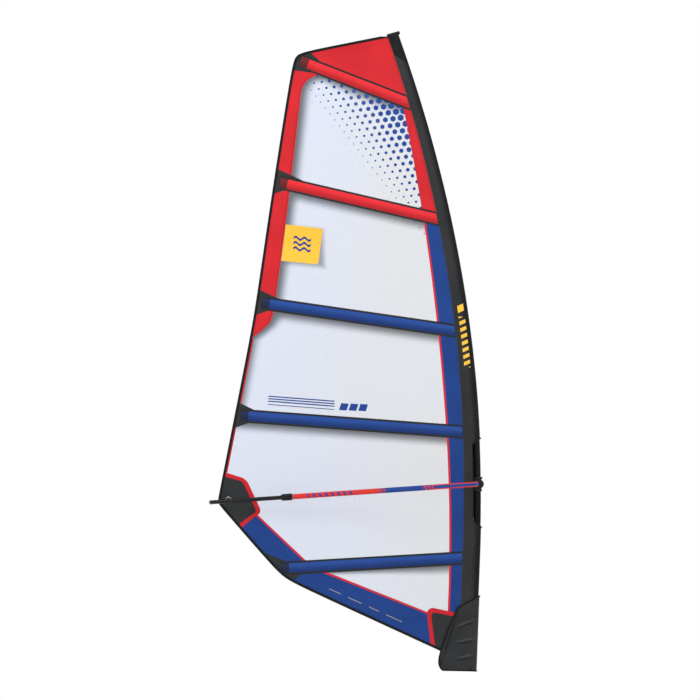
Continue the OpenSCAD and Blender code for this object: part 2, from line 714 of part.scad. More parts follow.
// Plan of the arm's curved part, from the head to the straight rear part: [u, y] in the boom's frame.
arm_plan = [
  arm_start,
  for (a = [0:10:90])
    [arm_start[0] + (belly_u - arm_start[0]) * (1 - cos(a)), lerp(arm_turn_y, boom_half_w, sin(a))],
  for (k = [1:8]) let (s = k / 8)
    [lerp(belly_u, straight_u, s), lerp(tail_half_w, boom_half_w, (1 + cos(180 * s)) / 2)],
  [straight_u - 12, tail_half_w]
];
function plan_dir(path, k) = let (
    a = path[max(0, k - 1)], b = path[min(len(path) - 1, k + 1)], d = b - a
  ) d / norm(d);
// Rings of radius r along a plan path, on side s (-1 near, 1 far).
function plan_rings(path, r, n, s) = [for (k = [0:len(path) - 1])
  let (d = plan_dir(path, k), p = path[k])
  [for (i = [0:n - 1]) let (a = -s * 360 * i / n)
    [p[0] - d[1] * r * cos(a), s * (p[1] + d[0] * r * cos(a)), -r * sin(a)]]];

module boom_arm(s) {
  bore = tail_d / 2 + 0.2;
  n = 16;
  color(alloy) in_boom_frame() {
    shell(plan_rings(arm_plan, arm_d / 2 - 0.1, n, s), plan_rings(arm_plan, bore + 0.4, n, s));
    translate([arm_end_u, s * tail_half_w, 0]) rotate([0, 90, 0]) difference() {
      cylinder(d = arm_d, h = straight_u - arm_end_u);
      translate([0, 0, -1]) cylinder(r = bore, h = 2000);
    }
  }
}

grip_end_u = -1268;
module boom_grip(s) {
  n = 14;
  path = [for (k = [1:len(arm_plan) - 2]) arm_plan[k], [-1130, tail_half_w], [grip_end_u, tail_half_w]];
  color(s < 0 ? red : blue) in_boom_frame()
    shell(plan_rings(path, grip_d / 2, n, s), plan_rings(path, arm_d / 2 + 0.55, n, s));
}

module lock_collar(s) {
  length = 77;
  front_u = -1272;
  r = 23.5;
  color(moulding) in_boom_frame() translate([front_u, s * tail_half_w, 0]) rotate([0, -90, 0])
    difference() {
      rotate_extrude() polygon([
        [arm_d / 2 + 0.1, 0], [r - 1.5, 0], [r, 1.5], [r, length - 16], [r - 1.2, length - 14],
        [r - 1.2, length - 5], [r - 5, length], [tail_d / 2 + 0.3, length],
        [tail_d / 2 + 0.3, length - 12], [arm_d / 2 + 0.1, length - 12]
      ]);
      for (k = [0:11]) rotate([0, 0, 30 * k]) translate([r + 0.6, 0, 8]) cylinder(r = 1.6, h = 46, $fn = 24);
    }
}

tail_bend = 45;
tail_wall = 1.8;
module tail_tube() {
  leg_end = -(tail_u - tail_bend);
  leg_start = arm_end_u + tail_insert;
  module ring2d() {
    difference() {
      circle(d = tail_d);
      circle(d = tail_d - 2 * tail_wall);
    }
  }
  color(moulding) in_boom_frame() {
    for (s = [-1, 1]) {
      translate([leg_end, s * tail_half_w, 0]) rotate([0, 90, 0])
        linear_extrude(leg_start - leg_end) ring2d();
      translate([leg_end, s * (tail_half_w - tail_bend), 0])
        rotate([0, 0, s > 0 ? 90 : 180]) rotate_extrude(angle = 90)
          translate([tail_bend, 0]) ring2d();
    }
    translate([-tail_u, 0, 0]) rotate([90, 0, 0])
      linear_extrude(2 * (tail_half_w - tail_bend), center = true) ring2d();
  }
}

tail_sheave_u = -1806;
tail_sheave_y = 15;
module tail_end() {
  half = 29;
  color(moulding) in_boom_frame() {
    difference() {
      union() {
        translate([-tail_u, 0, 0]) rotate([90, 0, 0]) cylinder(d = tail_d + 3, h = 2 * half, center = true);
        translate([-tail_u, -half, -10]) cube([tail_u - 1793, 2 * half, 20]);
      }
      translate([-tail_u, 0, 0]) rotate([90, 0, 0]) cylinder(d = tail_d + 0.06, h = 99, center = true);
      for (s = [-1, 1]) translate([-1817, s * tail_sheave_y - 13, -4.4]) cube([40, 26, 8.8]);
    }
    for (s = [-1, 1]) translate([tail_sheave_u, s * tail_sheave_y, -10]) cylinder(r = axle_r, h = 20);
  }
}

module tail_sheave(s) {
  color(alloy) in_boom_frame() translate([tail_sheave_u, s * tail_sheave_y, 0])
    sheave(10, sheave_w, axle_r + 0.05);
}

base_housing();
base_release_button();
base_sheaves();
base_sheave_axle();
extension_tube();
extension_collar();
collar_pin();
mast_bottom();
mast_top();
mast_ferrule();
mast_tip_plug();
sleeve_upper();
sleeve_bridge();
sleeve_lower();
tip_protector();
head_panel();
window_1();
window_2();
window_3();
window_4();
window_5();
leech_panel();
luff_panel_red();
luff_panel_blue();
foot_panel();
sail_binding();
clew_patch();
tack_patch();
sail_badge();
clew_ring();
leech_reinforcements();
batten(0);  // batten_1
batten(1);  // batten_2
batten(2);  // batten_3
batten(3);  // batten_4
batten(4);  // batten_5
batten_tensioners();
batten_pocket(0);  // batten_pocket_1
batten_pocket(1);  // batten_pocket_2
batten_pocket(2);  // batten_pocket_3
batten_pocket(3);  // batten_pocket_4
batten_pocket(4);  // batten_pocket_5
tack_block();
tack_sheaves();
tack_fairing();
mast_clamp();
clamp_strap();
clamp_lever();
boom_head();
boom_arm(1);  // boom_arm_left
boom_arm(-1);  // boom_arm_right
boom_grip(1);  // boom_grip_left
boom_grip(-1);  // boom_grip_right
lock_collar(1);  // lock_collar_left
lock_collar(-1);  // lock_collar_right
tail_tube();
tail_end();
tail_sheave(1);  // tail_sheave_left
tail_sheave(-1);  // tail_sheave_right
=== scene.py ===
"""Looks of the windsurf sail rig: cloth, film, padding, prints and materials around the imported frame."""

import math

import bpy
import numpy as np
from mathutils import Matrix, Vector


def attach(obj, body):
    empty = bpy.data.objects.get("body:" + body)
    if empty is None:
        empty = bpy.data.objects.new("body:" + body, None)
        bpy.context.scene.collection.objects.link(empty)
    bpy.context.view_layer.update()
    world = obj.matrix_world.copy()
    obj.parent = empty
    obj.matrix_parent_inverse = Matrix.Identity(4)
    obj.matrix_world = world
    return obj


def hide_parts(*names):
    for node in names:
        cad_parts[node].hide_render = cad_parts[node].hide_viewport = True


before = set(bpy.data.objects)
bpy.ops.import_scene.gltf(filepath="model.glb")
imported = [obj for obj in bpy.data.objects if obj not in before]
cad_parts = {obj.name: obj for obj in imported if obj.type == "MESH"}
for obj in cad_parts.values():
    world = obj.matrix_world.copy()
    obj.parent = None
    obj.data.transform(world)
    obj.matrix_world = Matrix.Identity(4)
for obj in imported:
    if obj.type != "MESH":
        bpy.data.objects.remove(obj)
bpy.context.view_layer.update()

MM = 0.001  # the shapes below are worked out in millimetres

# ------------------------------------------------------------------ driving sizes, as in the CAD
MAST_D = 48
MAST_TIP_D = 22
MAST_TOP_Z = 4322
TAPER_Z = 1900
HEM_W = 16
POCKET_W = 80
SEAM_LAP = 3  # sheets run this far under the ones sewn over them
BATTEN_LEECH_Z = [4129, 3299, 2469, 1693, 660]
BATTEN_LUFF_Z = [3882, 3094, 2331, 1640, 775]
CUTOUT_LOW_Z = 1040
CUTOUT_HIGH_Z = 1553
SLEEVE_LOW_Z = 200
SLEEVE_TOP_Z = 4316
SLEEVE_SLACK = 1.2  # between the mast and the inside of the sleeve
SLEEVE_WALL = 1.5
REAR_SEAM = 9  # the sleeve's two sides are sewn together over this depth
BOOM_Z = 1286
BOOM_SLOPE = math.radians(6.1)
BOOM_HALF_W = 235
TAIL_HALF_W = 82
GRIP_R = 17.7
GRIP_BORE_R = 16.05

# Linear colours
RED = (0.48, 0.012, 0.018)
RED_DARK = (0.29, 0.006, 0.010)
BLUE = (0.007, 0.038, 0.182)
BLUE_DARK = (0.003, 0.018, 0.100)
CHARCOAL = (0.021, 0.023, 0.0245)
CHARCOAL_DARK = (0.006, 0.0065, 0.007)
YELLOW = (0.70, 0.40, 0.040)
INK = (0.008, 0.040, 0.200)


# ------------------------------------------------------------------ outline and camber of the sail
def soft_max(a, b, r):
    return (a + b + np.sqrt((a - b) ** 2 + r * r)) / 2


def mast_x(z):
    return -681 * (np.maximum(0, z - 800) / 3540) ** 2.06


def mast_r(z):
    share = np.maximum(0, z - TAPER_Z) / (MAST_TOP_Z - TAPER_Z)
    return (MAST_D + (MAST_TIP_D - MAST_D) * share) / 2


def leech_x(z):
    d = z - 2380
    return -1584 + 0.0985 * d + 6.8e-6 * np.maximum(0, d) ** 2 - 0.061 * soft_max(0, -d, 200)


def foot_x(z, w):
    d = 586 - z
    bend = (1 + d / np.sqrt(d * d + 1600)) / 2
    return -1321 + 0.935 * d + 1.485 * soft_max(0, d, 40) + w * (1.369 + 1.249 * bend)


def outline_x(z, w=0):
    """Aft edge of the sail at a height, moved inward by w."""
    head = -749 + 4.26 * (z - 4341) + 4.376 * w
    return soft_max(soft_max(leech_x(z) + w, foot_x(z, w), 16), head, 96)


def chord_share(x, z):
    """0 at the luff and 1 at the aft edge."""
    zc = np.maximum(z, 120)
    luff = mast_x(zc) - 40
    chord = luff - outline_x(zc)
    return np.clip((luff - x) / chord, 0, 1), chord, zc


def sleeve_back(z):
    return 73 + 25.5 * (1 - np.clip((z - 1200) / 3140, 0, 1)) ** 1.5


def sleeve_aft_x(z):
    return mast_x(z) - sleeve_back(z)


def luff_edge_x(z):
    low = 206 - 25 * np.maximum(0, 1 - np.maximum(0, z - 600) / 1350) ** 1.5
    high = 206 - 2.45e-5 * (z - 1950) ** 2
    return mast_x(z) - np.where(z < 1950, low, high)


def leech_inner_x(z):
    """Inner edge of the leech panel, with the rounded corner of the window at the top."""
    high = 131 - 42 * ((z - 2385) / 1574) ** 2
    low = np.maximum(0, -soft_max(-131, -1.08 * (z - 2212), 30))
    corner = 130 - np.sqrt(130**2 - np.minimum(129.35, np.maximum(0, z - 3920)) ** 2)
    return outline_x(z) + np.where(z > 2385, high, low) + corner


def foot_inner_a(z):
    return -1201 - 1.14 * (z - 747)


def foot_inner_b(z):
    return -671 - 2.82 * (z - 520)


def batten_slope(i):
    low, high = BATTEN_LEECH_Z[i], BATTEN_LUFF_Z[i]
    return (high - low) / (sleeve_aft_x(high) - outline_x(low, 60))


def batten_z(i, x, w=0):
    """Height of batten i's line at x, moved up by w square to the batten."""
    m = batten_slope(i)
    return BATTEN_LUFF_Z[i] + m * (x - sleeve_aft_x(BATTEN_LUFF_Z[i])) + w * math.sqrt(1 + m * m)


def sail_y(x, z):
    """The sail's middle surface: the camber, with faint flutes in the bays between the battens."""
    s, chord, zc = chord_share(x, z)
    foot_fade = np.minimum(1, 0.25 + zc / 1400)
    head_fade = 1 - 0.45 * np.maximum(0, zc - 2800) / 1500
    camber = 0.035 * chord * foot_fade * head_fade * s * (1 - s) ** 1.5 / 0.186
    away = np.min([np.abs(z - batten_z(i, x)) for i in range(5)], axis=0)
    calm = 1 - np.exp(-((away / 150) ** 2))
    flute = np.sin((z + 0.35 * x) / 46) + 0.6 * np.sin((z - 0.2 * x) / 71 + 1.3)
    return camber + 1.5 * calm * s * (1 - s) * 4 * flute * (1 - s) ** 0.7


def rim(z):
    """Aft edge of the panels, hidden inside the hem tape."""
    return outline_x(z, 2)


def patch_rim(z):
    """Aft edge of the patches, just under the hem tape's front edge."""
    return outline_x(z, HEM_W - 3)


def seam_sleeve(z):
    """The panels run a little way into the rear seam of the sleeve."""
    return sleeve_aft_x(z) + 5


def above(i):
    return lambda x: batten_z(i, x, POCKET_W / 2 - SEAM_LAP)


def below(i):
    return lambda x: batten_z(i, x, SEAM_LAP - POCKET_W / 2)


def level(z):
    return lambda x: z + 0 * x


def meet(edge, line):
    """Height where an edge (x from z) crosses a line (z from x)."""
    low, high = 60.0, 4330.0
    for _ in range(40):
        middle = (low + high) / 2
        if middle > line(edge(middle)):
            high = middle
        else:
            low = middle
    return (low + high) / 2


# ------------------------------------------------------------------ mesh helpers
def add_piece(name, points, faces, material, body, sharp=40):
    """A mesh from points in millimetres, riding on a body."""
    mesh = bpy.data.meshes.new(name)
    mesh.from_pydata((np.asarray(points, float) * MM).tolist(), [], faces)
    mesh.polygons.foreach_set("use_smooth", [True] * len(mesh.polygons))
    mesh.set_sharp_from_angle(angle=math.radians(sharp))
    mesh.materials.append(material)
    piece = bpy.data.objects.new(name, mesh)
    bpy.context.scene.collection.objects.link(piece)
    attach(piece, body)
    return piece


def set_attribute(piece, name, values):
    attribute = piece.data.attributes.new(name, "FLOAT", "POINT")
    attribute.data.foreach_set("value", np.asarray(values, np.float32).ravel())


def grid_faces(rows, cols):
    """Faces of a closed sheet: its front, its back and the rim between them."""
    def at(j, i):
        return j * (cols + 1) + i

    back = (rows + 1) * (cols + 1)
    faces = []
    for j in range(rows):
        for i in range(cols):
            quad = [at(j, i), at(j, i + 1), at(j + 1, i + 1), at(j + 1, i)]
            faces.append(quad)
            faces.append([back + k for k in reversed(quad)])
    loop = [at(0, i) for i in range(cols)] + [at(j, cols) for j in range(rows)]
    loop += [at(rows, i) for i in range(cols, 0, -1)] + [at(j, 0) for j in range(rows, 0, -1)]
    for a, b in zip(loop, loop[1:] + loop[:1]):
        faces.append([b, a, back + a, back + b])
    return faces


def grid_piece(name, x, z, half, material, slot):
    """A closed sheet on the sail's surface. x and z are grids, half is half its thickness."""
    rows, cols = x.shape[0] - 1, x.shape[1] - 1
    middle = sail_y(x, z)
    front = np.stack([x, middle - half, z], axis=-1).reshape(-1, 3)
    back = np.stack([x, middle + half, z], axis=-1).reshape(-1, 3)
    points = np.concatenate([front, back])
    return add_piece(name, points, grid_faces(rows, cols), material, "rig")


def edge_distances(piece, x, z):
    """Stores how far each point is from the sheet's four edges, in metres, for its material."""
    across = np.hypot(np.diff(x, axis=1), np.diff(z, axis=1)).cumsum(axis=1)
    across = np.pad(across, ((0, 0), (1, 0)))
    up = np.hypot(np.diff(x, axis=0), np.diff(z, axis=0)).cumsum(axis=0)
    up = np.pad(up, ((1, 0), (0, 0)))
    square = {}
    for name, column in (("left", 0), ("right", -1)):
        run, rise = x[-1, column] - x[0, column], z[-1, column] - z[0, column]
        square[name] = abs(rise) / math.hypot(run, rise)
    found = {
        "left": across * square["left"],
        "right": (across[:, -1:] - across) * square["right"],
        "low": up,
        "high": up[-1:] - up,
    }
    for name, value in found.items():
        both = np.concatenate([value.ravel(), value.ravel()])
        set_attribute(piece, name, both * MM)


def corner_inset(distance, radius):
    """How far a rounded corner of that radius pulls an edge in, at a distance from the corner."""
    if radius <= 0:
        return 0 * distance
    return radius - np.sqrt(np.maximum(0, radius**2 - np.maximum(0, radius - distance) ** 2))


def sheet_grid(left, right, low, high, cols, rows, round_left=(0, 0), round_right=(0, 0)):
    """Points between two edges (x from z) and two lines (z from x). round_* are corner radii."""
    left_low, left_high = meet(left, low), meet(left, high)
    right_low, right_high = meet(right, low), meet(right, high)
    share = np.linspace(0, 1, rows + 1)
    if any(round_left) or any(round_right):
        share = (1 - np.cos(np.pi * share)) / 2
    z_left = left_low + (left_high - left_low) * share
    z_right = right_low + (right_high - right_low) * share
    x_left, x_right = left(z_left), right(z_right)
    for x_edge, z_edge, radii, inward in (
        (x_left, z_left, round_left, 1),
        (x_right, z_right, round_right, -1),
    ):
        x_edge += inward * corner_inset(z_edge - z_edge[0], radii[0])
        x_edge += inward * corner_inset(z_edge[-1] - z_edge, radii[1])
    s = np.linspace(0, 1, cols + 1)[None, :]
    x = x_left[:, None] * (1 - s) + x_right[:, None] * s
    z = z_left[:, None] * (1 - s) + z_right[:, None] * s
    return x, z


def cloth_piece(name, edges, size, half, look, slot, replaced, rests_on, tape_width=None, **rounding):
    """A sheet of cloth or film. tape_width is not used."""
    x, z = sheet_grid(*edges, *size, **rounding)
    piece = grid_piece(name, x, z, half, LOOK[look], slot)
    edge_distances(piece, x, z)
    if replaced:
        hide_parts(*replaced)


def shell_piece(name, outer, inner, material, body, closed=True, sharp=50):
    """A wall between outer and inner rings of points, each ring going round the mast."""
    outer, inner = np.asarray(outer, float), np.asarray(inner, float)
    levels, n = outer.shape[0] - 1, outer.shape[1]
    o = outer.shape[0] * n
    last = n if closed else n - 1
    faces = []
    for k in range(levels):
        for i in range(last):
            a, b = k * n + i, k * n + (i + 1) % n
            faces.append([a, b, b + n, a + n])
            faces.append([o + a, o + a + n, o + b + n, o + b])
    for i in range(last):
        a, b = i, (i + 1) % n
        c, d = levels * n + a, levels * n + b
        faces.append([b, a, o + a, o + b])
        faces.append([c, d, o + d, o + c])
    if not closed:
        for k in range(levels):
            a, b = k * n, k * n + n - 1
            faces.append([a, a + n, o + a + n, o + a])
            faces.append([b + n, b, o + b, o + b + n])
    points = np.concatenate([outer.reshape(-1, 3), inner.reshape(-1, 3)])
    return add_piece(name, points, faces, material, body, sharp)


def cord_piece(name, path, radius, closed=False):
    """A round bead of black piping along a path in millimetres, as a mesh."""
    curve = bpy.data.curves.new(name, "CURVE")
    curve.dimensions = "3D"
    curve.bevel_depth = radius * MM
    curve.bevel_resolution = 3
    curve.use_fill_caps = True
    spline = curve.splines.new("POLY")
    spline.points.add(len(path) - 1)
    for point, place in zip(spline.points, path):
        point.co = (*(float(v) * MM for v in place), 1)
    spline.use_cyclic_u = closed
    holder = bpy.data.objects.new(name + "_line", curve)
    mesh = bpy.data.meshes.new_from_object(holder)
    mesh.name = name
    bpy.data.objects.remove(holder)
    mesh.polygons.foreach_set("use_smooth", [True] * len(mesh.polygons))
    mesh.materials.clear()
    mesh.materials.append(LOOK["piping"])
    piece = bpy.data.objects.new(name, mesh)
    bpy.context.scene.collection.objects.link(piece)
    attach(piece, "rig")


# ------------------------------------------------------------------ material helpers
class Surface:
    """One Principled material. Its own sockets hold what is uniform; nodes give what varies."""

    def __init__(self, name, **fixed):
        self.material = bpy.data.materials.new(name)
        self.material.use_nodes = True
        self.tree = self.material.node_tree
        self.shader = self.tree.nodes["Principled BSDF"]
        for socket, value in fixed.items():
            self.shader.inputs[socket.replace("_", " ")].default_value = value
        self.place = self.node("ShaderNodeTexCoord").outputs["Object"]
        split = self.node("ShaderNodeSeparateXYZ", Vector=self.place)
        self.x, self.y, self.z = split.outputs

    def node(self, kind, settings=None, **inputs):
        made = self.tree.nodes.new(kind)
        for name, value in (settings or {}).items():
            setattr(made, name, value)
        for name, value in inputs.items():
            self.feed(made.inputs[name.replace("_", " ")], value)
        return made

    def feed(self, socket, value):
        if isinstance(value, bpy.types.NodeSocket):
            self.tree.links.new(value, socket)
        elif isinstance(value, tuple) and socket.type == "RGBA":
            socket.default_value = (*value, 1)
        else:
            socket.default_value = value

    def set(self, socket, value):
        self.feed(self.shader.inputs[socket], value)

    def calc(self, operation, a, b=0.0, c=0.0, clamp=False):
        made = self.node("ShaderNodeMath", {"operation": operation, "use_clamp": clamp})
        for socket, value in zip(made.inputs, (a, b, c)):
            self.feed(socket, value)
        return made.outputs[0]

    def times(self, a, b):
        return self.calc("MULTIPLY", a, b)

    def plus(self, a, b, clamp=False):
        return self.calc("ADD", a, b, clamp=clamp)

    def minus(self, a, b):
        return self.calc("SUBTRACT", a, b)

    def ramp(self, value, low, high, start=0.0, end=1.0):
        """Smoothly from start at low to end at high."""
        made = self.node("ShaderNodeMapRange", {"interpolation_type": "SMOOTHSTEP"})
        for socket, number in zip(made.inputs, (value, low, high, start, end)):
            self.feed(socket, number)
        return made.outputs[0]

    def band(self, value, low, high, soft=0.0004):
        """1 between low and high, 0 outside."""
        return self.calc(
            "MULTIPLY",
            self.ramp(value, low - soft, low + soft),
            self.ramp(value, high - soft, high + soft, 1.0, 0.0),
        )

    def mix(self, share, a, b):
        made = self.node("ShaderNodeMix", {"data_type": "RGBA"})
        self.feed(made.inputs[0], share)
        self.feed(made.inputs[6], a)
        self.feed(made.inputs[7], b)
        return made.outputs[2]

    def attribute(self, name):
        return self.node("ShaderNodeAttribute", {"attribute_name": name}).outputs["Fac"]

    def noise(self, scale, detail=3.0, roughness=0.5, vector=None):
        made = self.node("ShaderNodeTexNoise", Scale=scale, Detail=detail, Roughness=roughness)
        self.feed(made.inputs["Vector"], vector or self.place)
        return made.outputs["Fac"]

    def vary(self, scale, start, end, detail=3.0):
        """Noise of that scale, from start to end."""
        return self.ramp(self.noise(scale, detail), 0.3, 0.7, start, end)

    def done(self, base, rough, normal):
        self.set("Base Color", base)
        self.set("Roughness", rough)
        self.set("Normal", normal)
        return self.material

    def stretched(self, x, y, z):
        """Object coordinates scaled by these factors, for grain that runs one way."""
        made = self.node("ShaderNodeVectorMath", {"operation": "MULTIPLY"})
        self.feed(made.inputs[0], self.place)
        made.inputs[1].default_value = (x, y, z)
        return made.outputs[0]

    def threads(self, value, period):
        """A rounded wave of that period along a coordinate."""
        turn = self.calc("MULTIPLY", value, 2 * math.pi / period)
        return self.calc("MULTIPLY_ADD", self.calc("SINE", turn), 0.5, 0.5)

    def weave(self, period):
        """Height of a plain weave: warp and weft cross over each other."""
        warp = self.threads(self.x, period)
        weft = self.threads(self.z, period)
        checker = self.calc("MULTIPLY", warp, weft)
        return self.calc("MAXIMUM", self.calc("MULTIPLY", warp, 0.7), checker)

    def bump(self, height, distance, strength=1.0, normal=None):
        made = self.node("ShaderNodeBump", Height=height, Distance=distance, Strength=strength)
        if normal:
            self.feed(made.inputs["Normal"], normal)
        return made.outputs["Normal"]

    def stitches(self, edge, at, along, pitch=0.0055):
        """A dashed line of thread that distance in from an edge."""
        line = self.band(self.attribute(edge), at - 0.0007, at + 0.0007, 0.0003)
        dash = self.ramp(self.threads(along, pitch), 0.25, 0.4)
        return self.calc("MULTIPLY", line, dash)

    def edge_shade(self, edges, reach):
        """1 in the middle of a sheet, falling to 0 at the named edges."""
        shade = None
        for edge in edges:
            one = self.ramp(self.attribute(edge), 0.0, reach)
            shade = one if shade is None else self.calc("MULTIPLY", shade, one)
        return shade


def cloth(name, colour, dark, edges=(), stitched=(), strip=None, seam=None, rough=0.62):
    """Woven polyester: weave, slow colour drift, painted shade at the seams, rows of stitching."""
    s = Surface(name, Sheen_Weight=0.04, Sheen_Roughness=0.5, Specular_IOR_Level=0.14)
    weave = s.weave(0.0011)
    drift = s.vary(3.5, 0.0, 0.35, 3.0)
    fleck = s.times(weave, 0.14)
    base = s.mix(s.plus(drift, fleck), colour, dark)
    # Painted shade: the cloth darkens towards the named edges, as if the seams and pockets beside them
    # shaded it.
    if edges:
        shade = s.edge_shade(edges, 0.022)
        base = s.mix(s.times(s.minus(1.0, shade), 0.3), base, dark)
    if strip:
        edge, width, strip_colour = strip
        base = s.mix(s.band(s.attribute(edge), -0.01, width), base, strip_colour)
    if seam:
        line = s.band(s.attribute(seam), 0.0085, 0.0115, 0.0005)
        base = s.mix(s.times(line, 0.6), base, tuple(c * 0.3 for c in colour))
    thread = None
    for edge, at, axis in stitched:
        row = s.stitches(edge, at, s.z if axis == "z" else s.x)
        thread = row if thread is None else s.calc("MAXIMUM", thread, row)
    height = s.times(weave, 0.25)
    if thread:
        base = s.mix(s.times(thread, 0.75), base, dark)
        height = s.plus(height, thread)
    s.set("Base Color", base)
    s.set("Roughness", s.vary(60.0, rough - 0.08, rough + 0.1, 2.0))
    pucker = s.bump(s.noise(9.0, 2.0), 0.004, 0.35)
    s.set("Normal", s.bump(height, 0.0004, 0.5, pucker))
    return s.material


def film(name, edges, badge=False):
    """Clear window film: pale and bluish, glossy, a little hazy, with a bonded seam at its edges; painted
    shadow along the named edges and, when badge is set, round the badge.
    """
    s = Surface(name, Specular_IOR_Level=0.35, Coat_Weight=0.15, Coat_Roughness=0.08)
    cloudy = s.ramp(s.noise(1.1, 2.0, 0.4, s.stretched(1.0, 1.0, 0.6)), 0.2, 0.8, -0.3, 0.3)
    drift = s.plus(s.ramp(s.x, -1.75, -0.15, 0.1, 0.9), cloudy, clamp=True)
    base = s.mix(drift, (0.44, 0.495, 0.635), (0.46, 0.47, 0.49))
    # Painted shadow: near the named edges the film is darkened and made more opaque, as if the cloth beside
    # it shaded it.
    shade = s.edge_shade(edges, 0.095)
    if badge:
        # Painted shadow of the badge: the film darkens round a slanted box where the badge sits.
        beside = s.calc("ABSOLUTE", s.calc("MULTIPLY_ADD", s.z, 0.08, s.plus(s.x, 1.031)))
        level = s.calc("ABSOLUTE", s.calc("MULTIPLY_ADD", s.x, 0.06, s.minus(s.z, 2.793)))
        away = s.calc("MAXIMUM", s.minus(beside, 0.128), s.minus(level, 0.123))
        shade = s.times(shade, s.ramp(away, -0.02, 0.035, 0.35, 1.0))
    base = s.mix(s.times(s.minus(1.0, shade), 0.92), base, (0.05, 0.053, 0.062))
    seam = s.ramp(s.edge_shade(["left", "right", "low", "high"], 0.008), 0.35, 0.75, 1.0, 0.0)
    base = s.mix(s.times(seam, 0.25), base, (0.42, 0.50, 0.52))
    s.set("Base Color", base)
    hazy = s.vary(40.0, 0.10, 0.22, 3.0)
    s.set("Roughness", s.plus(hazy, s.times(seam, 0.3)))
    alpha = s.plus(s.ramp(drift, 0.0, 1.0, 0.42, 0.40), s.times(seam, 0.15))
    s.set("Alpha", s.plus(alpha, s.ramp(shade, 0.0, 1.0, 0.42, 0.0), clamp=True))
    crinkle = s.noise(5.0, 4.0, 0.55, s.stretched(1.0, 1.0, 0.45))
    s.set("Normal", s.bump(crinkle, 0.012, 0.18))
    return s.material


def ink(name, colour):
    """Ink printed on the film, thinner in places."""
    s = Surface(name, Specular_IOR_Level=0.2)
    thin = s.ramp(s.noise(2.6, 2.0), 0.54, 0.66, 0.0, 0.25)
    s.set("Base Color", s.mix(thin, colour, tuple(0.65 * c + 0.12 for c in colour)))
    s.set("Roughness", s.vary(90.0, 0.18, 0.35))
    s.set("Alpha", s.minus(1.0, s.times(thin, 0.25)))
    s.set("Normal", s.bump(s.noise(900.0, 1.0), 0.0002, 0.2))
    return s.material


def pocket_cloth(name, colour, dark):
    """Batten pocket: coloured middle with a painted highlight on its upper half and painted shade on its
    lower half, black tapes at both edges and a stitched webbing end.
    """
    s = Surface(name, Sheen_Weight=0.04, Sheen_Roughness=0.5, Specular_IOR_Level=0.16)
    weave = s.weave(0.0011)
    across, along = s.attribute("across"), s.attribute("along")
    width = s.calc("ABSOLUTE", across)
    drift = s.vary(5.0, 0.0, 0.3, 3.0)
    base = s.mix(s.plus(drift, s.times(weave, 0.12)), colour, dark)
    # Painted highlight along the upper half of the pocket and painted shade on its lower half, as if it were
    # lit from above.
    light = tuple(c * 1.35 + 0.003 for c in colour)
    base = s.mix(s.ramp(across, -0.004, 0.018, 0.0, 0.55), base, light)
    base = s.mix(s.ramp(across, -0.036, 0.004, 1.0, 0.0), base, dark)
    tape = s.ramp(width, 0.0325, 0.0335)
    base = s.mix(tape, base, CHARCOAL_DARK)
    webbing = s.times(s.ramp(along, 0.054, 0.056, 1.0, 0.0), s.minus(1.0, tape))
    hatch = s.calc(
        "MAXIMUM",
        s.threads(s.plus(along, across), 0.0085),
        s.threads(s.minus(along, across), 0.0085),
    )
    netting = s.times(webbing, s.ramp(hatch, 0.35, 0.9, 0.97, 0.72))
    base = s.mix(netting, base, CHARCOAL_DARK)
    rows = s.calc(
        "MAXIMUM", s.band(width, 0.0352, 0.0364, 0.0003), s.band(width, 0.0425, 0.0437, 0.0003)
    )
    thread = s.times(rows, s.ramp(s.threads(along, 0.0055), 0.25, 0.4))
    base = s.mix(s.times(thread, 0.5), base, (0.10, 0.105, 0.11))
    s.set("Base Color", base)
    s.set("Roughness", s.vary(70.0, 0.5, 0.66, 2.0))
    height = s.plus(s.times(weave, 0.25), s.plus(thread, s.times(tape, 0.8)))
    pucker = s.bump(s.noise(22.0, 3.0, 0.5, s.stretched(0.6, 1.0, 1.6)), 0.004, 0.5)
    s.set("Normal", s.bump(height, 0.0005, 0.6, pucker))
    return s.material


def sleeve_cloth():
    """Heavy charcoal sleeve cloth: painted shade darkening it towards its nose, black at the tip, generic
    yellow bars.
    """
    s = Surface("sleeve_cloth_look", Sheen_Weight=0.04, Sheen_Roughness=0.45, Specular_IOR_Level=0.15)
    weave = s.weave(0.0016)
    behind = s.attribute("behind")
    drift = s.vary(3.0, 0.0, 0.4, 3.0)
    base = s.mix(s.plus(drift, s.times(weave, 0.2)), CHARCOAL, CHARCOAL_DARK)
    # Painted shade: the cloth darkens towards the sleeve's nose.
    base = s.mix(s.ramp(behind, -0.012, 0.034, 0.95, 0.0), base, (0.0015, 0.0015, 0.002))
    tip = s.ramp(s.calc("MULTIPLY_ADD", s.x, 0.65, s.z), 3.755, 3.758)
    base = s.mix(tip, base, (0.003, 0.003, 0.0035))
    slant = s.calc("MULTIPLY_ADD", behind, 0.45, s.z)
    bars = s.ramp(s.threads(slant, 0.046), 0.42, 0.50)
    panel = s.times(s.band(s.z, 2.085, 2.43, 0.001), s.band(behind, 0.004, 0.047, 0.001))
    block = s.times(s.band(slant, 2.475, 2.522, 0.001), s.band(behind, 0.004, 0.047, 0.001))
    mark = s.calc("MAXIMUM", s.times(bars, panel), block)
    base = s.mix(mark, base, YELLOW)
    seam = s.band(s.attribute("tail"), 0.0045, 0.0058, 0.0003)
    thread = s.times(seam, s.ramp(s.threads(s.z, 0.006), 0.25, 0.4))
    base = s.mix(s.times(thread, 0.6), base, (0.11, 0.115, 0.12))
    s.set("Base Color", base)
    s.set("Roughness", s.vary(50.0, 0.55, 0.75, 2.0))
    height = s.plus(s.times(weave, 0.4), thread)
    pucker = s.bump(s.noise(7.0, 3.0, 0.5, s.stretched(1.4, 1.0, 0.6)), 0.01, 0.35)
    s.set("Normal", s.bump(height, 0.0005, 0.6, pucker))
    return s.material


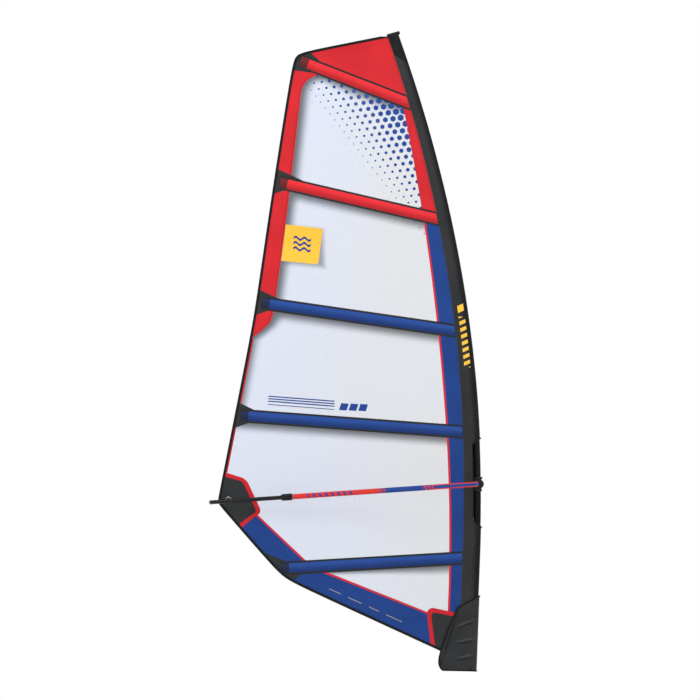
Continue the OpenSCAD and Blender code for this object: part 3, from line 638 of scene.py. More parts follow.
def padded_cloth():
    """Tough woven nylon over foam, scuffed where it stands on the board, with painted highlights on its
    raised creases and painted shade in their hollows.
    """
    s = Surface("padded_nylon", Sheen_Weight=0.05, Sheen_Roughness=0.4, Specular_IOR_Level=0.15)
    weave = s.weave(0.0021)
    drift = s.vary(6.0, 0.0, 0.4, 4.0)
    base = s.mix(s.plus(drift, s.times(weave, 0.22)), CHARCOAL, CHARCOAL_DARK)
    # Painted highlight on the ridges of the creases and painted shade in their hollows and in the sewn
    # channel.
    fold = s.attribute("fold")
    base = s.mix(s.ramp(fold, 0.3, 3.6, 0.0, 0.7), base, (0.048, 0.051, 0.053))
    base = s.mix(s.ramp(fold, -3.0, -0.3, 0.8, 0.0), base, (0.004, 0.004, 0.0045))
    scuff = s.times(s.ramp(s.noise(75.0, 5.0, 0.65), 0.56, 0.7), s.ramp(s.z, 0.02, 0.16, 0.5, 0.0))
    base = s.mix(scuff, base, (0.12, 0.12, 0.118))
    s.set("Base Color", base)
    s.set("Roughness", s.vary(40.0, 0.48, 0.68, 2.0))
    soft = s.bump(s.noise(14.0, 3.0), 0.006, 0.4)
    s.set("Normal", s.bump(weave, 0.0005, 0.5, soft))
    return s.material


def tape(name, colour, ribs):
    """Folded webbing or binding tape with ribs that run along it."""
    s = Surface(name, Sheen_Weight=0.04, Sheen_Roughness=0.5, Specular_IOR_Level=0.14)
    rib = s.threads(s.plus(s.x, s.z), ribs)
    wear = s.ramp(s.noise(45.0, 5.0, 0.7), 0.52, 0.75, 0.0, 0.35)
    base = s.mix(s.times(rib, 0.4), colour, tuple(c * 0.45 for c in colour))
    return s.done(
        s.mix(wear, base, tuple(min(1, c * 1.7 + 0.004) for c in colour)),
        s.vary(80.0, 0.5, 0.72),
        s.bump(rib, 0.0004, 0.6),
    )


def plastic(name, colour, rough, grain=0.35):
    """Moulded plastic: fine grain, handling marks and a few pale scuffs."""
    s = Surface(name, Specular_IOR_Level=0.22)
    fine = s.noise(1400.0, 2.0, 0.6)
    smear = s.ramp(s.noise(18.0, 4.0, 0.6), 0.35, 0.75, 0.0, 0.35)
    base = s.mix(smear, colour, tuple(c * 0.55 for c in colour))
    scuff = s.ramp(s.noise(120.0, 6.0, 0.75, s.stretched(1.0, 1.0, 0.3)), 0.66, 0.78, 0.0, 0.35)
    return s.done(
        s.mix(scuff, base, (0.04, 0.04, 0.04)),
        s.vary(35.0, rough - 0.08, rough + 0.12, 4.0),
        s.bump(fine, 0.0003, grain),
    )


def metal(name, colour, rough=0.3):
    """Alloy with a drawn grain and small dull patches."""
    s = Surface(name, Metallic=1.0)
    grain = s.noise(220.0, 3.0, 0.6, s.stretched(0.05, 1.0, 1.0))
    dull = s.ramp(s.noise(30.0, 4.0), 0.4, 0.7, 0.0, 0.5)
    return s.done(
        s.mix(dull, colour, tuple(c * 0.72 for c in colour)),
        s.ramp(grain, 0.3, 0.7, rough - 0.06, rough + 0.14),
        s.bump(grain, 0.0002, 0.25),
    )


def composite(name):
    """Glossy black wound tube: twill under a clear coat."""
    s = Surface(name, Coat_Weight=0.12, Coat_Roughness=0.08, Specular_IOR_Level=0.05)
    twill = s.threads(s.plus(s.z, s.y), 0.0042)
    cross = s.threads(s.minus(s.z, s.y), 0.0042)
    lay = s.times(twill, cross)
    return s.done(
        s.mix(lay, (0.001, 0.001, 0.0012), (0.004, 0.004, 0.0045)),
        s.vary(25.0, 0.22, 0.36, 3.0),
        s.bump(lay, 0.0002, 0.3),
    )


def glass_rod():
    """Pultruded glass fibre: pale, with long streaks."""
    s = Surface("glass_fibre_rod", Specular_IOR_Level=0.5)
    streak = s.noise(300.0, 3.0, 0.6, s.stretched(0.03, 1.0, 1.0))
    return s.done(
        s.mix(streak, (0.62, 0.56, 0.36), (0.78, 0.74, 0.58)),
        s.ramp(streak, 0.3, 0.7, 0.3, 0.5),
        s.bump(streak, 0.0003, 0.4),
    )


def grip_foam(name):
    """Boom grip: fine diamond texture, printed with red and blue fields and generic bars."""
    s = Surface(name, Specular_IOR_Level=0.15, Sheen_Weight=0.03, Sheen_Roughness=0.4)
    along, side = s.attribute("along"), s.attribute("side")
    away = s.calc("ABSOLUTE", side)
    point = s.calc("MULTIPLY_ADD", away, 0.85, along)
    red, blue = (0.53, 0.026, 0.020), (0.010, 0.042, 0.205)
    base = s.mix(s.ramp(point, -0.6485, -0.6475), red, blue)
    base = s.mix(s.band(point, -0.668, -0.661, 0.0005), base, blue)
    base = s.mix(s.band(point, -0.636, -0.629, 0.0005), base, red)
    slant = s.calc("MULTIPLY_ADD", side, 0.5, along)
    bars = s.ramp(s.threads(slant, 0.042), 0.60, 0.66)
    field = s.times(s.band(slant, -1.17, -0.835, 0.0005), s.ramp(away, 0.0118, 0.0124, 1.0, 0.0))
    base = s.mix(s.times(bars, field), base, blue)
    ring = s.times(s.band(slant, -0.374, -0.302, 0.0005), s.ramp(s.threads(slant, 0.024), 0.45, 0.52))
    base = s.mix(ring, base, red)
    edge = s.times(s.ramp(point, -0.303, -0.302), s.ramp(away, 0.0098, 0.0104))
    base = s.mix(edge, base, red)
    worn = s.ramp(s.noise(30.0, 5.0, 0.65), 0.5, 0.8, 0.0, 0.3)
    s.set("Base Color", s.mix(worn, base, s.mix(0.5, base, (0.02, 0.02, 0.03))))
    around = s.attribute("around")
    knurl = s.calc(
        "MULTIPLY",
        s.threads(s.plus(along, around), 0.0052),
        s.threads(s.minus(along, around), 0.0052),
    )
    s.set("Roughness", s.ramp(knurl, 0.0, 1.0, 0.62, 0.45))
    s.set("Normal", s.bump(knurl, 0.0007, 0.6))
    return s.material


def stage_surface(name, colour):
    s = Surface(name)
    s.set("Base Color", s.mix(s.ramp(s.noise(2.0), 0.3, 0.7), colour, tuple(c * 0.97 for c in colour)))
    s.set("Roughness", s.vary(5.0, 0.7, 0.85))
    return s.material


LOOK = {
    "red": cloth(
        "red_polyester", RED, RED_DARK, ("left", "right", "low", "high"),
        (("right", 0.004, "z"), ("left", 0.026, "z"), ("low", 0.004, "x"), ("high", 0.004, "x")),
        seam="right",
    ),
    "blue": cloth(
        "blue_polyester", BLUE, BLUE_DARK, ("left", "low", "high"),
        (("left", 0.018, "z"), ("right", 0.004, "z"), ("low", 0.004, "x"), ("high", 0.004, "x")),
        strip=("left", 0.0135, RED),
    ),
    "foot": cloth(
        "blue_foot_polyester", BLUE, BLUE_DARK, ("right",),
        (("right", 0.004, "z"), ("right", 0.016, "z"), ("left", 0.026, "z")),
        strip=("right", 0.012, RED),
    ),
    "foot_plain": cloth(
        "blue_tack_polyester", BLUE, BLUE_DARK, ("high",), (("left", 0.026, "x"), ("high", 0.006, "x"))
    ),
    "trim": cloth(
        "red_trim", RED, RED_DARK, (),
        (("right", 0.008, "z"), ("right", 0.021, "z"), ("left", 0.008, "z"), ("left", 0.021, "z"),
         ("low", 0.008, "x"), ("low", 0.021, "x"), ("high", 0.008, "x"), ("high", 0.021, "x")),
    ),
    "patch": cloth(
        "black_patch", CHARCOAL, CHARCOAL_DARK, (),
        (("right", 0.004, "z"), ("left", 0.004, "z"), ("low", 0.004, "x"), ("high", 0.004, "x")),
    ),
    "cap": cloth("black_batten_cap", CHARCOAL, CHARCOAL_DARK),
    "badge": cloth(
        "yellow_badge", YELLOW, (0.62, 0.30, 0.02), (),
        (("right", 0.005, "z"), ("left", 0.005, "z"), ("low", 0.005, "x"), ("high", 0.005, "x")),
    ),
    "film_top": film("window_film_top", ("left", "high")),
    "film": film("window_film_plain", ("left", "high")),
    "film_badge": film("window_film_badge", ("left", "high"), True),
    "film_low": film("window_film_low", ("high",)),
    "ink": ink("blue_ink", INK),
    "pale_ink": ink("pale_ink", (0.34, 0.31, 0.20)),
    "mark": ink("badge_thread", INK),
    "pocket_red": pocket_cloth("red_pocket", RED, RED_DARK),
    "pocket_blue": pocket_cloth("blue_pocket", BLUE, BLUE_DARK),
    "sleeve": sleeve_cloth(),
    "padding": padded_cloth(),
    "hem": tape("black_hem_tape", (0.003, 0.003, 0.0035), 0.0032),
    "piping": tape("black_piping", (0.003, 0.003, 0.0035), 0.0024),
    "black": plastic("black_plastic", (0.003, 0.003, 0.0035), 0.36),
    "gloss": plastic("glossy_black_plastic", (0.002, 0.002, 0.0025), 0.2, 0.1),
    "button": plastic("red_plastic", (0.50, 0.012, 0.012), 0.34),
    "strap": tape("clamp_webbing", (0.014, 0.014, 0.016), 0.003),
    "alloy": metal("brushed_alloy", (0.62, 0.64, 0.66)),
    "arm": metal("anodised_alloy", (0.20, 0.21, 0.22), 0.34),
    "tail": plastic("tail_gloss", (0.002, 0.002, 0.0025), 0.16, 0.05),
    "mast": composite("mast_composite"),
    "rod": glass_rod(),
    "grip": grip_foam("printed_grip"),
}


# ------------------------------------------------------------------ panels and windows
def luff_right(z):
    return luff_edge_x(z) + SEAM_LAP


def leech_right(z):
    return np.maximum(leech_inner_x(z), rim(z) + 3)


def leech_left(z):
    return np.maximum(leech_inner_x(z) - SEAM_LAP, rim(z))


def offset(edge, by):
    return lambda value: edge(value) + by


PANEL_HALF = 0.9
FILM_HALF = 0.3


def make_panels():
    """The coloured cloth: head, leech, luff and foot."""
    held = ("mast_top", "mast_bottom")
    cloth_piece(
        "head_cloth", (rim, seam_sleeve, above(0), level(4337)), (40, 70), PANEL_HALF,
        "red", "red_cloth", ("head_panel",), held,
    )
    bays = ((above(1), below(0), 60), (above(2), below(1), 40), (level(2215), below(2), 50))
    for k, (low, high, rows) in enumerate(bays, 1):
        cloth_piece(
            f"leech_cloth_{k}", (rim, leech_right, low, high), (10, rows), PANEL_HALF,
            "red", "red_cloth", ("leech_panel",) if k == 1 else (), held,
        )
    cloth_piece(
        "luff_cloth_red", (luff_edge_x, seam_sleeve, above(1), below(0)), (12, 50), PANEL_HALF,
        "red", "red_cloth", ("luff_panel_red",), held,
    )
    lows = (above(2), above(3), above(4), level(352))
    for k, low in enumerate(lows, 1):
        cloth_piece(
            f"luff_cloth_blue_{k}", (luff_edge_x, seam_sleeve, low, below(k)), (12, 40), PANEL_HALF,
            "blue", "blue_cloth", ("luff_panel_blue",) if k == 1 else (), held,
        )
    cloth_piece(
        "foot_cloth_aft", (rim, foot_inner_a, above(4), level(1225)), (14, 60), PANEL_HALF,
        "foot", "blue_cloth", ("foot_panel",), held,
    )
    cloth_piece(
        "foot_cloth_middle", (rim, foot_inner_b, level(352), below(4)), (30, 50), PANEL_HALF,
        "foot", "blue_cloth", (), held,
    )
    cloth_piece(
        "foot_cloth_fore", (rim, seam_sleeve, level(120), level(352)), (40, 30), PANEL_HALF,
        "foot_plain", "blue_cloth", (), held,
    )


def make_windows():
    """The five windows of clear film."""
    def foot_left(z):
        return np.maximum(rim(z), foot_inner_a(z) - SEAM_LAP)

    bays = (
        ((leech_left, luff_right, above(1), below(0)), "film_top"),
        ((leech_left, luff_right, above(2), below(1)), "film_badge"),
        ((leech_left, luff_right, above(3), below(2)), "film"),
        ((foot_left, luff_right, above(4), below(3)), "film_low"),
        ((offset(foot_inner_b, -SEAM_LAP), luff_right, level(352), below(4)), "film_low"),
    )
    for k, (edges, look) in enumerate(bays, 1):
        cloth_piece(
            f"window_film_{k}", edges, (60, 60), FILM_HALF, look, "window_film",
            (f"window_{k}",), ("mast_top", "mast_bottom"),
        )


def make_patches():
    """Hem tape, leech trim, clew, tack and head patches, and the triangles at the battens."""
    held = ("clew_ring",)
    cloth_piece(
        "hem_tape", (outline_x, lambda z: outline_x(z, HEM_W + 2), level(120), level(4341)), (2, 520), 3.0,
        "hem", "binding_tape", ("sail_binding",), ("mast_top",), tape_width=HEM_W + 2,
    )
    cloth_piece(
        "leech_trim", (lambda z: outline_x(z, HEM_W), lambda z: outline_x(z, HEM_W + 12),
                       level(1300), level(2225)), (3, 60), 0.9,
        "red", "red_cloth", (), ("mast_top",), tape_width=12,
    )

    def clew_right(z):
        return -1594 - 0.513 * (z - 1255)

    def clew_low(x):
        return 928 + 0.63 * (x + 1610)

    def clew_high(x):
        return 1278 - 0.2 * (x + 1627)

    cloth_piece(
        "clew_trim", (patch_rim, clew_right, clew_low, clew_high), (24, 48), 2.1,
        "trim", "red_cloth", ("clew_patch",), held, round_right=(55, 45),
    )
    cloth_piece(
        "clew_core",
        (patch_rim, offset(clew_right, -33), offset(clew_low, 35), offset(clew_high, -30)),
        (24, 48), 2.6, "patch", "sleeve_cloth", (), held, round_right=(34, 22),
    )

    def tack_left(z):
        return np.maximum(patch_rim(z), -318 - 0.162 * (z - 348))

    def tack_core_left(z):
        return np.maximum(patch_rim(z), -289 - 0.162 * (z - 348))

    def tack_high(x):
        return 400 - 0.137 * (x + 141)

    cloth_piece(
        "tack_trim", (tack_left, offset(seam_sleeve, -1), level(132), tack_high), (30, 44), 2.0,
        "trim", "red_cloth", ("tack_patch",), ("tack_block",), round_left=(0, 50),
    )
    cloth_piece(
        "tack_core",
        (tack_core_left, offset(seam_sleeve, -1.5), level(133), offset(tack_high, -27)),
        (30, 44), 2.5, "patch", "sleeve_cloth", (), ("tack_block",), round_left=(0, 28),
    )
    cloth_piece(
        "head_corner_patch",
        (patch_rim, lambda z: -1209 + 0 * z, lambda x: 4076 - 0.097 * (x + 1394),
         lambda x: 4204 - 0.79 * (x + 1276)),
        (24, 24), 1.5, "patch", "sleeve_cloth", (), ("batten_1",),
    )
    half, reach = 88, 215
    for i in range(1, 5):
        tall = 118 if i == 4 else half

        def slant(z, i=i, tall=tall):
            w = z - batten_z(i, patch_rim(z))
            return patch_rim(z) + reach * np.clip(1 - np.abs(w) / np.where(w > 0, tall, half), 0.02, 1)

        cloth_piece(
            f"batten_gusset_{i + 1}",
            (patch_rim, slant, lambda x, i=i: batten_z(i, x, 3 - half),
             lambda x, i=i, tall=tall: batten_z(i, x, tall - 3)),
            (12, 40), 1.5, "patch", "sleeve_cloth",
            ("leech_reinforcements",) if i == 1 else (), (f"batten_{i + 1}",),
        )
    cloth_piece(
        "badge_cloth",
        (offset(leech_inner_x, 2), offset(leech_inner_x, 258), lambda x: 2758 - 0.06 * (x + 1280),
         lambda x: 3008 - 0.07 * (x + 1280)), (20, 30), 1.8,
        "badge", "badge_cloth", ("sail_badge",), ("mast_top",), round_right=(16, 16),
    )


# ------------------------------------------------------------------ prints
def print_piece(name, outlines, half, material):
    """Flat printed shapes on both faces of the sail. Each outline is a loop of [x, z], anticlockwise."""
    points, faces = [], []
    for loop in outlines:
        loop = np.asarray(loop, float)
        n, first = len(loop), len(points)
        y = sail_y(loop[:, 0], loop[:, 1])
        for side in (-1, 1):
            points += [[x, q + side * half, z] for (x, z), q in zip(loop, y)]
        faces.append(list(range(first, first + n)))
        faces.append(list(range(first + 2 * n - 1, first + n - 1, -1)))
        for k in range(n):
            a, b = first + k, first + (k + 1) % n
            faces.append([b, a, a + n, b + n])
    return add_piece(name, points, faces, material, "rig", sharp=30)


def make_dots():
    """Hexagons that grow from small ones on a slanting line towards the luff, in a skewed grid."""
    origin = np.array([-1307.0, 3935.0])
    across = np.array([52.2, 9.0])
    down = np.array([33.9, -39.8])
    smallest, growth = 2.2, 2.35
    film_1, film_2 = (above(1), below(0)), (above(2), below(1))
    hexagons = []
    for row in range(-3, 30):
        for step in range(16):
            x, z = origin + step * across + row * down
            r = smallest + growth * step
            inside = leech_left(z) + r < x < luff_right(z) + 0.6 * r
            low, high = film_1 if z > batten_z(1, x) else film_2
            if inside and low(x) - 0.5 * r < z < high(x) + 0.5 * r:
                turn = math.radians(9.8 + 30)
                hexagons.append(
                    [[x + r * math.cos(turn + k * math.pi / 3), z + r * math.sin(turn + k * math.pi / 3)]
                     for k in range(6)]
                )
    print_piece("window_dots", hexagons, FILM_HALF + 0.25, LOOK["ink"])


def slanted_bar(x0, x1, z0, z1, lean, slope):
    """A bar from x0 to x1 and z0 to z1 that leans forward, on a line of that slope."""
    corners = [[x0, z0], [x1, z0], [x1 + lean, z1], [x0 + lean, z1]]
    return [[x, z + slope * (x - x0)] for x, z in corners]


def make_stripes():
    """Plain bars where the sail carries its print."""
    slope = -0.038
    bars = [slanted_bar(-1470, -1015, 1796 + k * 17, 1804 + k * 17, 6, slope) for k in range(3)]
    bars += [slanted_bar(-1470, -1015, 1775, 1780, 2, slope)]
    bars += [slanted_bar(-980 + k * 66, -928 + k * 66, 1758, 1806, 14, slope) for k in range(3)]
    print_piece("window_stripes", bars, FILM_HALF + 0.25, LOOK["ink"])
    dashes = []
    for group, length in ((0, 80), (130, 95), (275, 70), (395, 110)):
        x0 = -1000 + group
        dashes.append(slanted_bar(x0, x0 + length, 528 - 0.41 * group, 532 - 0.41 * group, 3, -0.41))
    print_piece("foot_stripes", dashes, PANEL_HALF + 0.3, LOOK["pale_ink"])
    waves = []
    for k in range(3):
        x = np.linspace(-1336, -1216, 25)
        z = 2850 + 36 * k + 9 * np.sin((x + 1336) / 120 * 4 * np.pi) - 0.06 * (x + 1276)
        low = np.stack([x, z - 8], axis=1)
        high = np.stack([x, z + 8], axis=1)[::-1]
        waves.append(np.concatenate([low, high]))
    print_piece("badge_waves", waves, 2.3, LOOK["mark"])


# ------------------------------------------------------------------ battens' pockets
LOWEST_POCKET_X = -1335
POCKET_HALF = 46  # the pocket with the tapes that are sewn over its edges


def under_sleeve(z):
    return sleeve_aft_x(z) + 1


def make_pockets():
    """Straight pockets with a round middle over the batten and flat taped edges."""
    rows, cols = 18, 140
    for i in range(5):
        m = batten_slope(i)
        k = math.sqrt(1 + m * m)
        w = np.linspace(-POCKET_HALF, POCKET_HALF, rows + 1)[:, None]
        start = LOWEST_POCKET_X if i == 4 else outline_x(BATTEN_LEECH_Z[i], HEM_W + 24)
        first, last = [], []
        for height in w[:, 0]:
            line = lambda x: batten_z(i, x, height)
            first.append(start - height * m / k)
            last.append(under_sleeve(meet(under_sleeve, line)))
        x0, x1 = np.array(first)[:, None], np.array(last)[:, None]
        x = x0 + (x1 - x0) * np.linspace(0, 1, cols + 1)[None, :]
        z = batten_z(i, x, w)
        along = x + w * m / k
        share = np.clip(1 - (np.abs(w) / 30) ** 2, 0, 1) ** 1.3
        pucker = 1 + 0.05 * np.sin(along / 23 + i) * np.sin(along / 61)
        tape_half = 1.9 + 0.25 * (np.abs(w) > 33)
        half = tape_half + 4.4 * share * pucker + 0 * x
        colour = "red" if i < 2 else "blue"
        piece = grid_piece(
            f"pocket_cloth_{i + 1}", x, z, half, LOOK["pocket_" + colour], colour + "_cloth"
        )
        set_attribute(piece, "across", np.tile((w + 0 * x).ravel(), 2) * MM)
        set_attribute(piece, "along", np.tile(((x - x0) * k).ravel(), 2) * MM)
        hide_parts(f"batten_pocket_{i + 1}")
        cap = sheet_grid(
            lambda z: sleeve_aft_x(z) - 1, lambda z: sleeve_aft_x(z) + 20,
            lambda x, i=i: batten_z(i, x, -13), lambda x, i=i: batten_z(i, x, 13), 8, 8,
        )
        grid_piece(f"batten_cap_{i + 1}", *cap, 5.4, LOOK["cap"], "sleeve_cloth")


# ------------------------------------------------------------------ sleeve
def teardrop(r, back, sides, nose):
    """Round nose of radius r with straight sides meeting at distance back. Starts at the rear."""
    phi = math.acos(r / back)
    arc = [(math.pi - phi) * (2 * i / nose - 1) for i in range(nose + 1)]
    start, end = (r * math.cos(arc[0]), r * math.sin(arc[0])), (r * math.cos(arc[-1]), r * math.sin(arc[-1]))
    first = [(-back + (start[0] + back) * k / sides, start[1] * k / sides) for k in range(sides)]
    last = [(-back + (end[0] + back) * k / sides, end[1] * k / sides) for k in range(sides - 1, 0, -1)]
    return np.array(first + [(r * math.cos(a), r * math.sin(a)) for a in arc] + last)


def on_rig(section, z):
    x = mast_x(z) + section[:, 0]
    return np.stack([x, section[:, 1] + sail_y(x, z + 0 * x), z + 0 * x], axis=1)


def sleeve_rings(heights, wall, low_line, high_line):
    """Rings of the sleeve. low_line and high_line give its two slanted ends from how far behind
    the mast's axis a point is."""
    rings = []
    for z in heights:
        back = sleeve_back(z) - (0 if wall else REAR_SEAM)
        section = teardrop(mast_r(z) + SLEEVE_SLACK + wall, back, 12, 28)
        reach = section[:, 0]
        low = low_line(-reach) * max(0, 1 - (z - heights[0]) / 130)
        high = high_line(-reach) * max(0, 1 - (heights[-1] - z) / 130)
        rings.append(on_rig(section, z + low + high))
    return rings


def mark_sleeve(piece):
    """Stores how far behind the mast's axis each point is, and how far ahead of the rear seam."""
    co = np.array([v.co for v in piece.data.vertices]) / MM
    behind = mast_x(co[:, 2]) - co[:, 0]
    set_attribute(piece, "behind", behind * MM)
    set_attribute(piece, "tail", (sleeve_back(co[:, 2]) - behind) * MM)


def sleeve_piece(name, heights, low_line, high_line, replaced):
    outer = sleeve_rings(heights, SLEEVE_WALL, low_line, high_line)
    inner = sleeve_rings(heights, 0, low_line, high_line)
    piece = shell_piece(name, outer, inner, LOOK["sleeve"], "rig")
    mark_sleeve(piece)
    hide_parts(replaced)


def bridge_section(z, wall):
    """One side of the sleeve behind the cut-out, from its front edge back to the rear seam."""
    back = sleeve_back(z) - (0 if wall else REAR_SEAM)
    slope = math.tan(math.asin((mast_r(z) + SLEEVE_SLACK + wall) / back))
    behind = np.linspace(CUTOUT_FRONT, back, 8)
    upper = np.stack([-behind, (back - behind) * slope], axis=1)
    lower = np.stack([-behind[::-1], -(back - behind[::-1]) * slope], axis=1)[1:]
    return on_rig(np.concatenate([upper, lower]), z)


CUTOUT_FRONT = 31  # the cut-out's rear edge is this far behind the mast's axis
CUTOUT_SLANT = 0.86


def cutout_rise(behind):
    """How far the cut-out's slanted ends reach beyond its straight rear edge."""
    return CUTOUT_SLANT * np.maximum(0, CUTOUT_FRONT - behind)


def tip_slant(behind):
    """The sleeve's top slopes up to the tip of the mast."""
    return 22 - 0.29 * (behind - 62)


def square_end(behind):
    return 0 * behind


def make_sleeve():
    heights = np.linspace(CUTOUT_HIGH_Z, SLEEVE_TOP_Z, 130)
    sleeve_piece("sleeve_cloth_upper", heights, cutout_rise, tip_slant, "sleeve_upper")
    heights = np.linspace(SLEEVE_LOW_Z, CUTOUT_LOW_Z, 60)
    sleeve_piece("sleeve_cloth_lower", heights, square_end, lambda b: -cutout_rise(b), "sleeve_lower")
    heights = np.linspace(CUTOUT_LOW_Z, CUTOUT_HIGH_Z, 30)
    outer = [bridge_section(z, SLEEVE_WALL) for z in heights]
    inner = [bridge_section(z, 0) for z in heights]
    bridge = shell_piece(
        "sleeve_cloth_bridge", outer, inner, LOOK["sleeve"], "rig", closed=False,
    )
    mark_sleeve(bridge)
    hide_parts("sleeve_bridge")
    make_cutout_piping()


def sleeve_side(z, behind, side):
    """A point just outside the sleeve, a distance behind the mast's axis."""
    r, back = mast_r(z) + SLEEVE_SLACK + 2.0, sleeve_back(z)
    slope = math.tan(math.asin(r / back))
    x = mast_x(z) - behind
    return [x, side * (back - behind) * slope + sail_y(x, z), z]


def make_cutout_piping():
    """A bead of piping round the boom cut-out, with a knob at the nose above and below."""
    front = CUTOUT_FRONT - 3
    behinds = np.linspace(-mast_r(CUTOUT_HIGH_Z), front, 14)
    low = [(b, CUTOUT_LOW_Z - cutout_rise(b)) for b in behinds]
    high = [(b, CUTOUT_HIGH_Z + cutout_rise(b)) for b in behinds[::-1]]
    rear = [(front, z) for z in np.linspace(CUTOUT_LOW_Z, CUTOUT_HIGH_Z, 18)[1:-1]]
    path = []
    for side, direction in ((-1, 1), (1, -1)):
        places = []
        for behind, z in low + rear + high:
            if behind > 3:
                places.append(sleeve_side(z, behind, side))
            else:
                r = mast_r(z) + 3.2
                angle = math.acos(np.clip(-behind / r, -1, 1))
                x = mast_x(z) + r * math.cos(angle)
                places.append([x, side * r * math.sin(angle) + sail_y(x, z), z])
        path += places[::direction]
    cord_piece("cutout_piping", path, 4.2, closed=True)
    for name, (behind, z) in (("upper", high[-1]), ("lower", low[0])):
        x = mast_x(z) - behind
        knob = [[x + 3, t, z] for t in np.linspace(-13, 13, 9)]
        cord_piece(f"cutout_knob_{name}", knob, 7.0)


# ------------------------------------------------------------------ padded fairing over the tack
FAIRING_WALL = 4
FAIRING_NOSE = MAST_D / 2 + 4.6
FAIRING_RISE = 520


def fairing_crease(x, z):
    """Three soft diagonal creases and a sewn channel along the rear edge."""
    total = 0 * x
    for height, slope, depth in ((338, 0.46, 4.0), (216, 0.24, 4.4), (104, 0.27, 3.8)):
        d = (z - height - slope * (x + 40)) / 8.5
        fade = np.exp(-(((x + 52) / 62) ** 2))
        total += depth * fade * (np.exp(-d * d) - 0.8 * np.exp(-((d + 1.9) ** 2)))
    return total


def fairing_ring(v, wall):
    """One slanted ring of the fairing, v from 0 at its foot to 1 at its top. No wall means inside."""
    r = FAIRING_NOSE + wall
    inside = wall == 0
    back = 258 + (116 - 258) * v**1.05 - 60 * (1 - v) ** 14 - (1 if inside else 0)
    z_front = 1 + FAIRING_RISE * v
    fall = 0.56 * v**3 + 0.02
    gap = 7.5 if inside else 11
    section = teardrop(r, back, 12, 32)
    section = np.concatenate([[[-back, -0.01]], section[1:], [[-back, 0.01]]])
    z = z_front + fall * (section[:, 0] - r)
    share = np.clip(-section[:, 0] / back, 0, 1)
    y = section[:, 1] + np.sign(section[:, 1]) * gap * share
    x = mast_x(np.maximum(z, 0)) + section[:, 0]
    plump = 0 if inside else 1
    channel = -4.0 * np.exp(-(((back + section[:, 0]) - 38) / 7) ** 2)
    crown = 1.4 * np.sin(np.pi * share)
    y = y + plump * np.sign(y) * (fairing_crease(x, z) + channel + crown) * (share > 0.02)
    y = y + sail_y(x, np.maximum(z, 0))
    return np.stack([x, y, z], axis=1)


def make_fairing():
    steps = np.linspace(0, 1, 90)
    outer = [fairing_ring(v, FAIRING_WALL) for v in steps]
    inner = [fairing_ring(v, 0) for v in steps]
    piece = shell_piece(
        "fairing_pad", outer, inner, LOOK["padding"], "rig", closed=False, sharp=60
    )
    # Stores the crease and channel heights, from which the padding's material paints highlights on the
    # ridges and shade in the hollows.
    co = np.array([v.co for v in piece.data.vertices]) / MM
    v = np.clip((co[:, 2] - 1) / FAIRING_RISE, 0, 1)
    back = 262 + (120 - 262) * v**1.05
    channel = -3.4 * np.exp(-(((back - mast_x(co[:, 2]) + co[:, 0]) - 38) / 8) ** 2)
    set_attribute(piece, "fold", fairing_crease(co[:, 0], co[:, 2]) + channel)
    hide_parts("tack_fairing")
    top, bottom = np.array(outer[-1]), np.array(outer[0])
    cord_piece("fairing_binding_top", top - [0, 0, 1.5], 5.6)
    cord_piece("fairing_binding_bottom", bottom + [0, 0, 4.8], 5.2)
    for name, index in (("near", 0), ("far", -1)):
        rear = np.array([ring[index] for ring in outer])
        rear[:, 0] += 4
        rear[0, 2] += 4.8
        cord_piece(f"fairing_binding_{name}", rear, 5.6)
    x = FAIRING_NOSE + FAIRING_WALL
    knob = [[x, t, 517] for t in np.linspace(-16, 16, 9)]
    cord_piece("fairing_knob", knob, 6.0)


# ------------------------------------------------------------------ boom grips
def boom_frame(u, y, up):
    """A point of the boom's own frame in the row frame: u forward, up square to the boom."""
    c, s = math.cos(BOOM_SLOPE), math.sin(BOOM_SLOPE)
    return np.stack([mast_x(BOOM_Z) + u * c - up * s, y, BOOM_Z + u * s + up * c], axis=-1)


def arm_plan():
    """The arm's curve from the head to the straight rear part, as [u, y]."""
    angle = np.linspace(0, math.pi / 2, 60)
    front = np.stack([-6 - 424 * (1 - np.cos(angle)), 66 + (BOOM_HALF_W - 66) * np.sin(angle)], axis=1)
    s = np.linspace(0, 1, 60)[1:]
    y = TAIL_HALF_W + (BOOM_HALF_W - TAIL_HALF_W) * (1 + np.cos(math.pi * s)) / 2
    rear = np.stack([-430 - 570 * s, y], axis=1)
    tail = np.stack([np.linspace(-1000, -1268, 30)[1:], np.full(29, TAIL_HALF_W)], axis=1)
    return np.concatenate([front, rear, tail])


def make_grips():
    """The printed grips on both arms."""
    plan = arm_plan()
    direction = np.gradient(plan, axis=0)
    direction /= np.linalg.norm(direction, axis=1)[:, None]
    n = 28
    turn = np.linspace(0, 2 * math.pi, n, endpoint=False)
    for name, side in (("right", -1), ("left", 1)):
        rings = {}
        for wall in (GRIP_R, GRIP_BORE_R):
            u = plan[:, None, 0] - direction[:, None, 1] * wall * np.cos(turn)
            y = side * (plan[:, None, 1] + direction[:, None, 0] * wall * np.cos(turn))
            up = -side * wall * np.sin(turn) + 0 * u
            rings[wall] = (boom_frame(u, y, up), u, up)
        outer, u, up = rings[GRIP_R]
        inner = rings[GRIP_BORE_R][0]
        piece = shell_piece(
            f"printed_grip_{name}", outer[:, ::-1], inner[:, ::-1], LOOK["grip"], "boom"
        )
        around = np.tile(turn[::-1] * GRIP_R, (len(plan), 1))
        for key, value in {"along": u[:, ::-1], "side": up[:, ::-1], "around": around}.items():
            set_attribute(piece, key, np.tile(value.ravel(), 2) * MM)
        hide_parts(f"boom_grip_{name}")


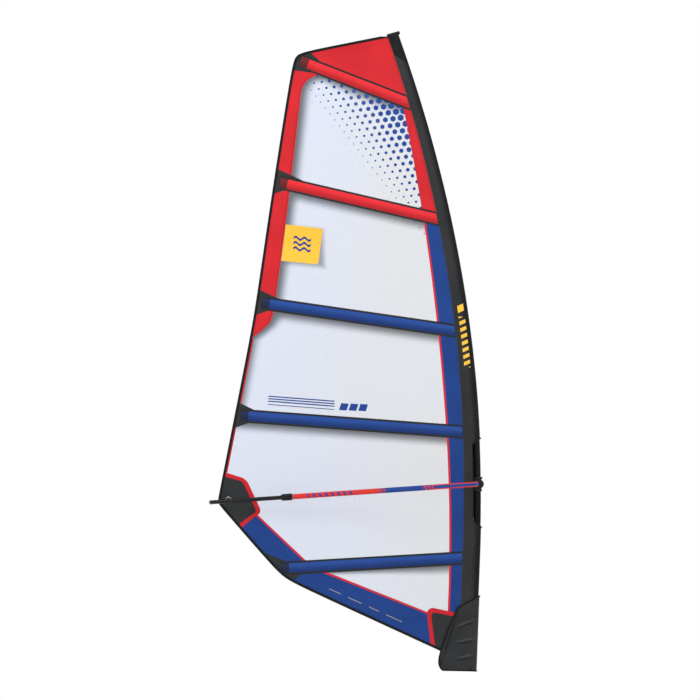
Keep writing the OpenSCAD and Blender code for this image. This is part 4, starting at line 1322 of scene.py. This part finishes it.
# ------------------------------------------------------------------ what stays from the CAD
CAD_LOOKS = {
    "black": ("base_housing", "extension_collar", "mast_tip_plug", "tip_protector", "batten_tensioners",
              "mast_clamp", "clamp_lever", "boom_head", "tail_end"),
    "gloss": ("lock_collar_left", "lock_collar_right"),
    "button": ("base_release_button",),
    "alloy": ("base_sheaves", "base_sheave_axle", "extension_tube", "collar_pin", "tack_block",
              "tack_sheaves", "tail_sheave_left", "tail_sheave_right"),
    "mast": ("mast_bottom", "mast_top", "mast_ferrule"),
    "strap": ("clamp_strap",),
    "arm": ("boom_arm_left", "boom_arm_right", "clew_ring"),
    "tail": ("tail_tube",),
    "rod": tuple(f"batten_{k}" for k in range(1, 6)),
}


def dress_cad_nodes():
    for look, names in CAD_LOOKS.items():
        for name in names:
            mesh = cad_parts[name].data
            mesh.materials.clear()
            mesh.materials.append(LOOK[look])


# ------------------------------------------------------------------ camera, light and floor
def make_stage():
    scene = bpy.context.scene
    scene.view_settings.view_transform = "Standard"
    roll = math.radians(2.2)
    right = Vector((math.cos(roll), 0, math.sin(roll)))
    up = Vector((-math.sin(roll), 0, math.cos(roll)))
    camera = bpy.data.objects.new("camera", bpy.data.cameras.new("camera"))
    camera.data.type = "ORTHO"
    camera.data.ortho_scale = 4.802
    camera.data.clip_end = 60
    turn = Matrix((right, up, Vector((0, -1, 0)))).transposed().to_4x4()
    camera.matrix_world = Matrix.Translation((-0.920, -8.0, 2.172)) @ turn
    scene.collection.objects.link(camera)
    scene.camera = camera

    world = bpy.data.worlds.new("studio")
    world.use_nodes = True
    background = world.node_tree.nodes["Background"]
    background.inputs["Color"].default_value = (1.0, 1.0, 1.0, 1)
    background.inputs["Strength"].default_value = 1.0
    scene.world = world

    lights = (
        ("key", (-3.4, -4.2, 5.4), 2.6, 190, (-0.8, 0.0, 2.2)),
        ("fill", (3.2, -4.0, 3.0), 3.0, 70, (-0.6, 0.0, 1.8)),
        ("back", (0.8, 4.6, 4.6), 2.6, 110, (-0.8, 0.0, 2.0)),
    )
    for name, place, size, power, target in lights:
        data = bpy.data.lights.new(name, "AREA")
        data.size = size
        data.energy = power
        light = bpy.data.objects.new(name, data)
        light.location = place
        light.rotation_euler = (Vector(target) - Vector(place)).to_track_quat("-Z", "Y").to_euler()
        scene.collection.objects.link(light)

    half, drop = 40.0, -0.012
    mesh = bpy.data.meshes.new("floor")
    corners = [(-half, -half, drop), (half, -half, drop), (half, half, drop), (-half, half, drop)]
    mesh.from_pydata(corners, [], [(0, 1, 2, 3)])
    mesh.materials.append(stage_surface("pale_floor", (0.87, 0.87, 0.865)))
    floor = bpy.data.objects.new("floor", mesh)
    scene.collection.objects.link(floor)


make_stage()
make_panels()
make_windows()
make_patches()
make_dots()
make_stripes()
make_pockets()
make_sleeve()
make_fairing()
make_grips()
dress_cad_nodes()
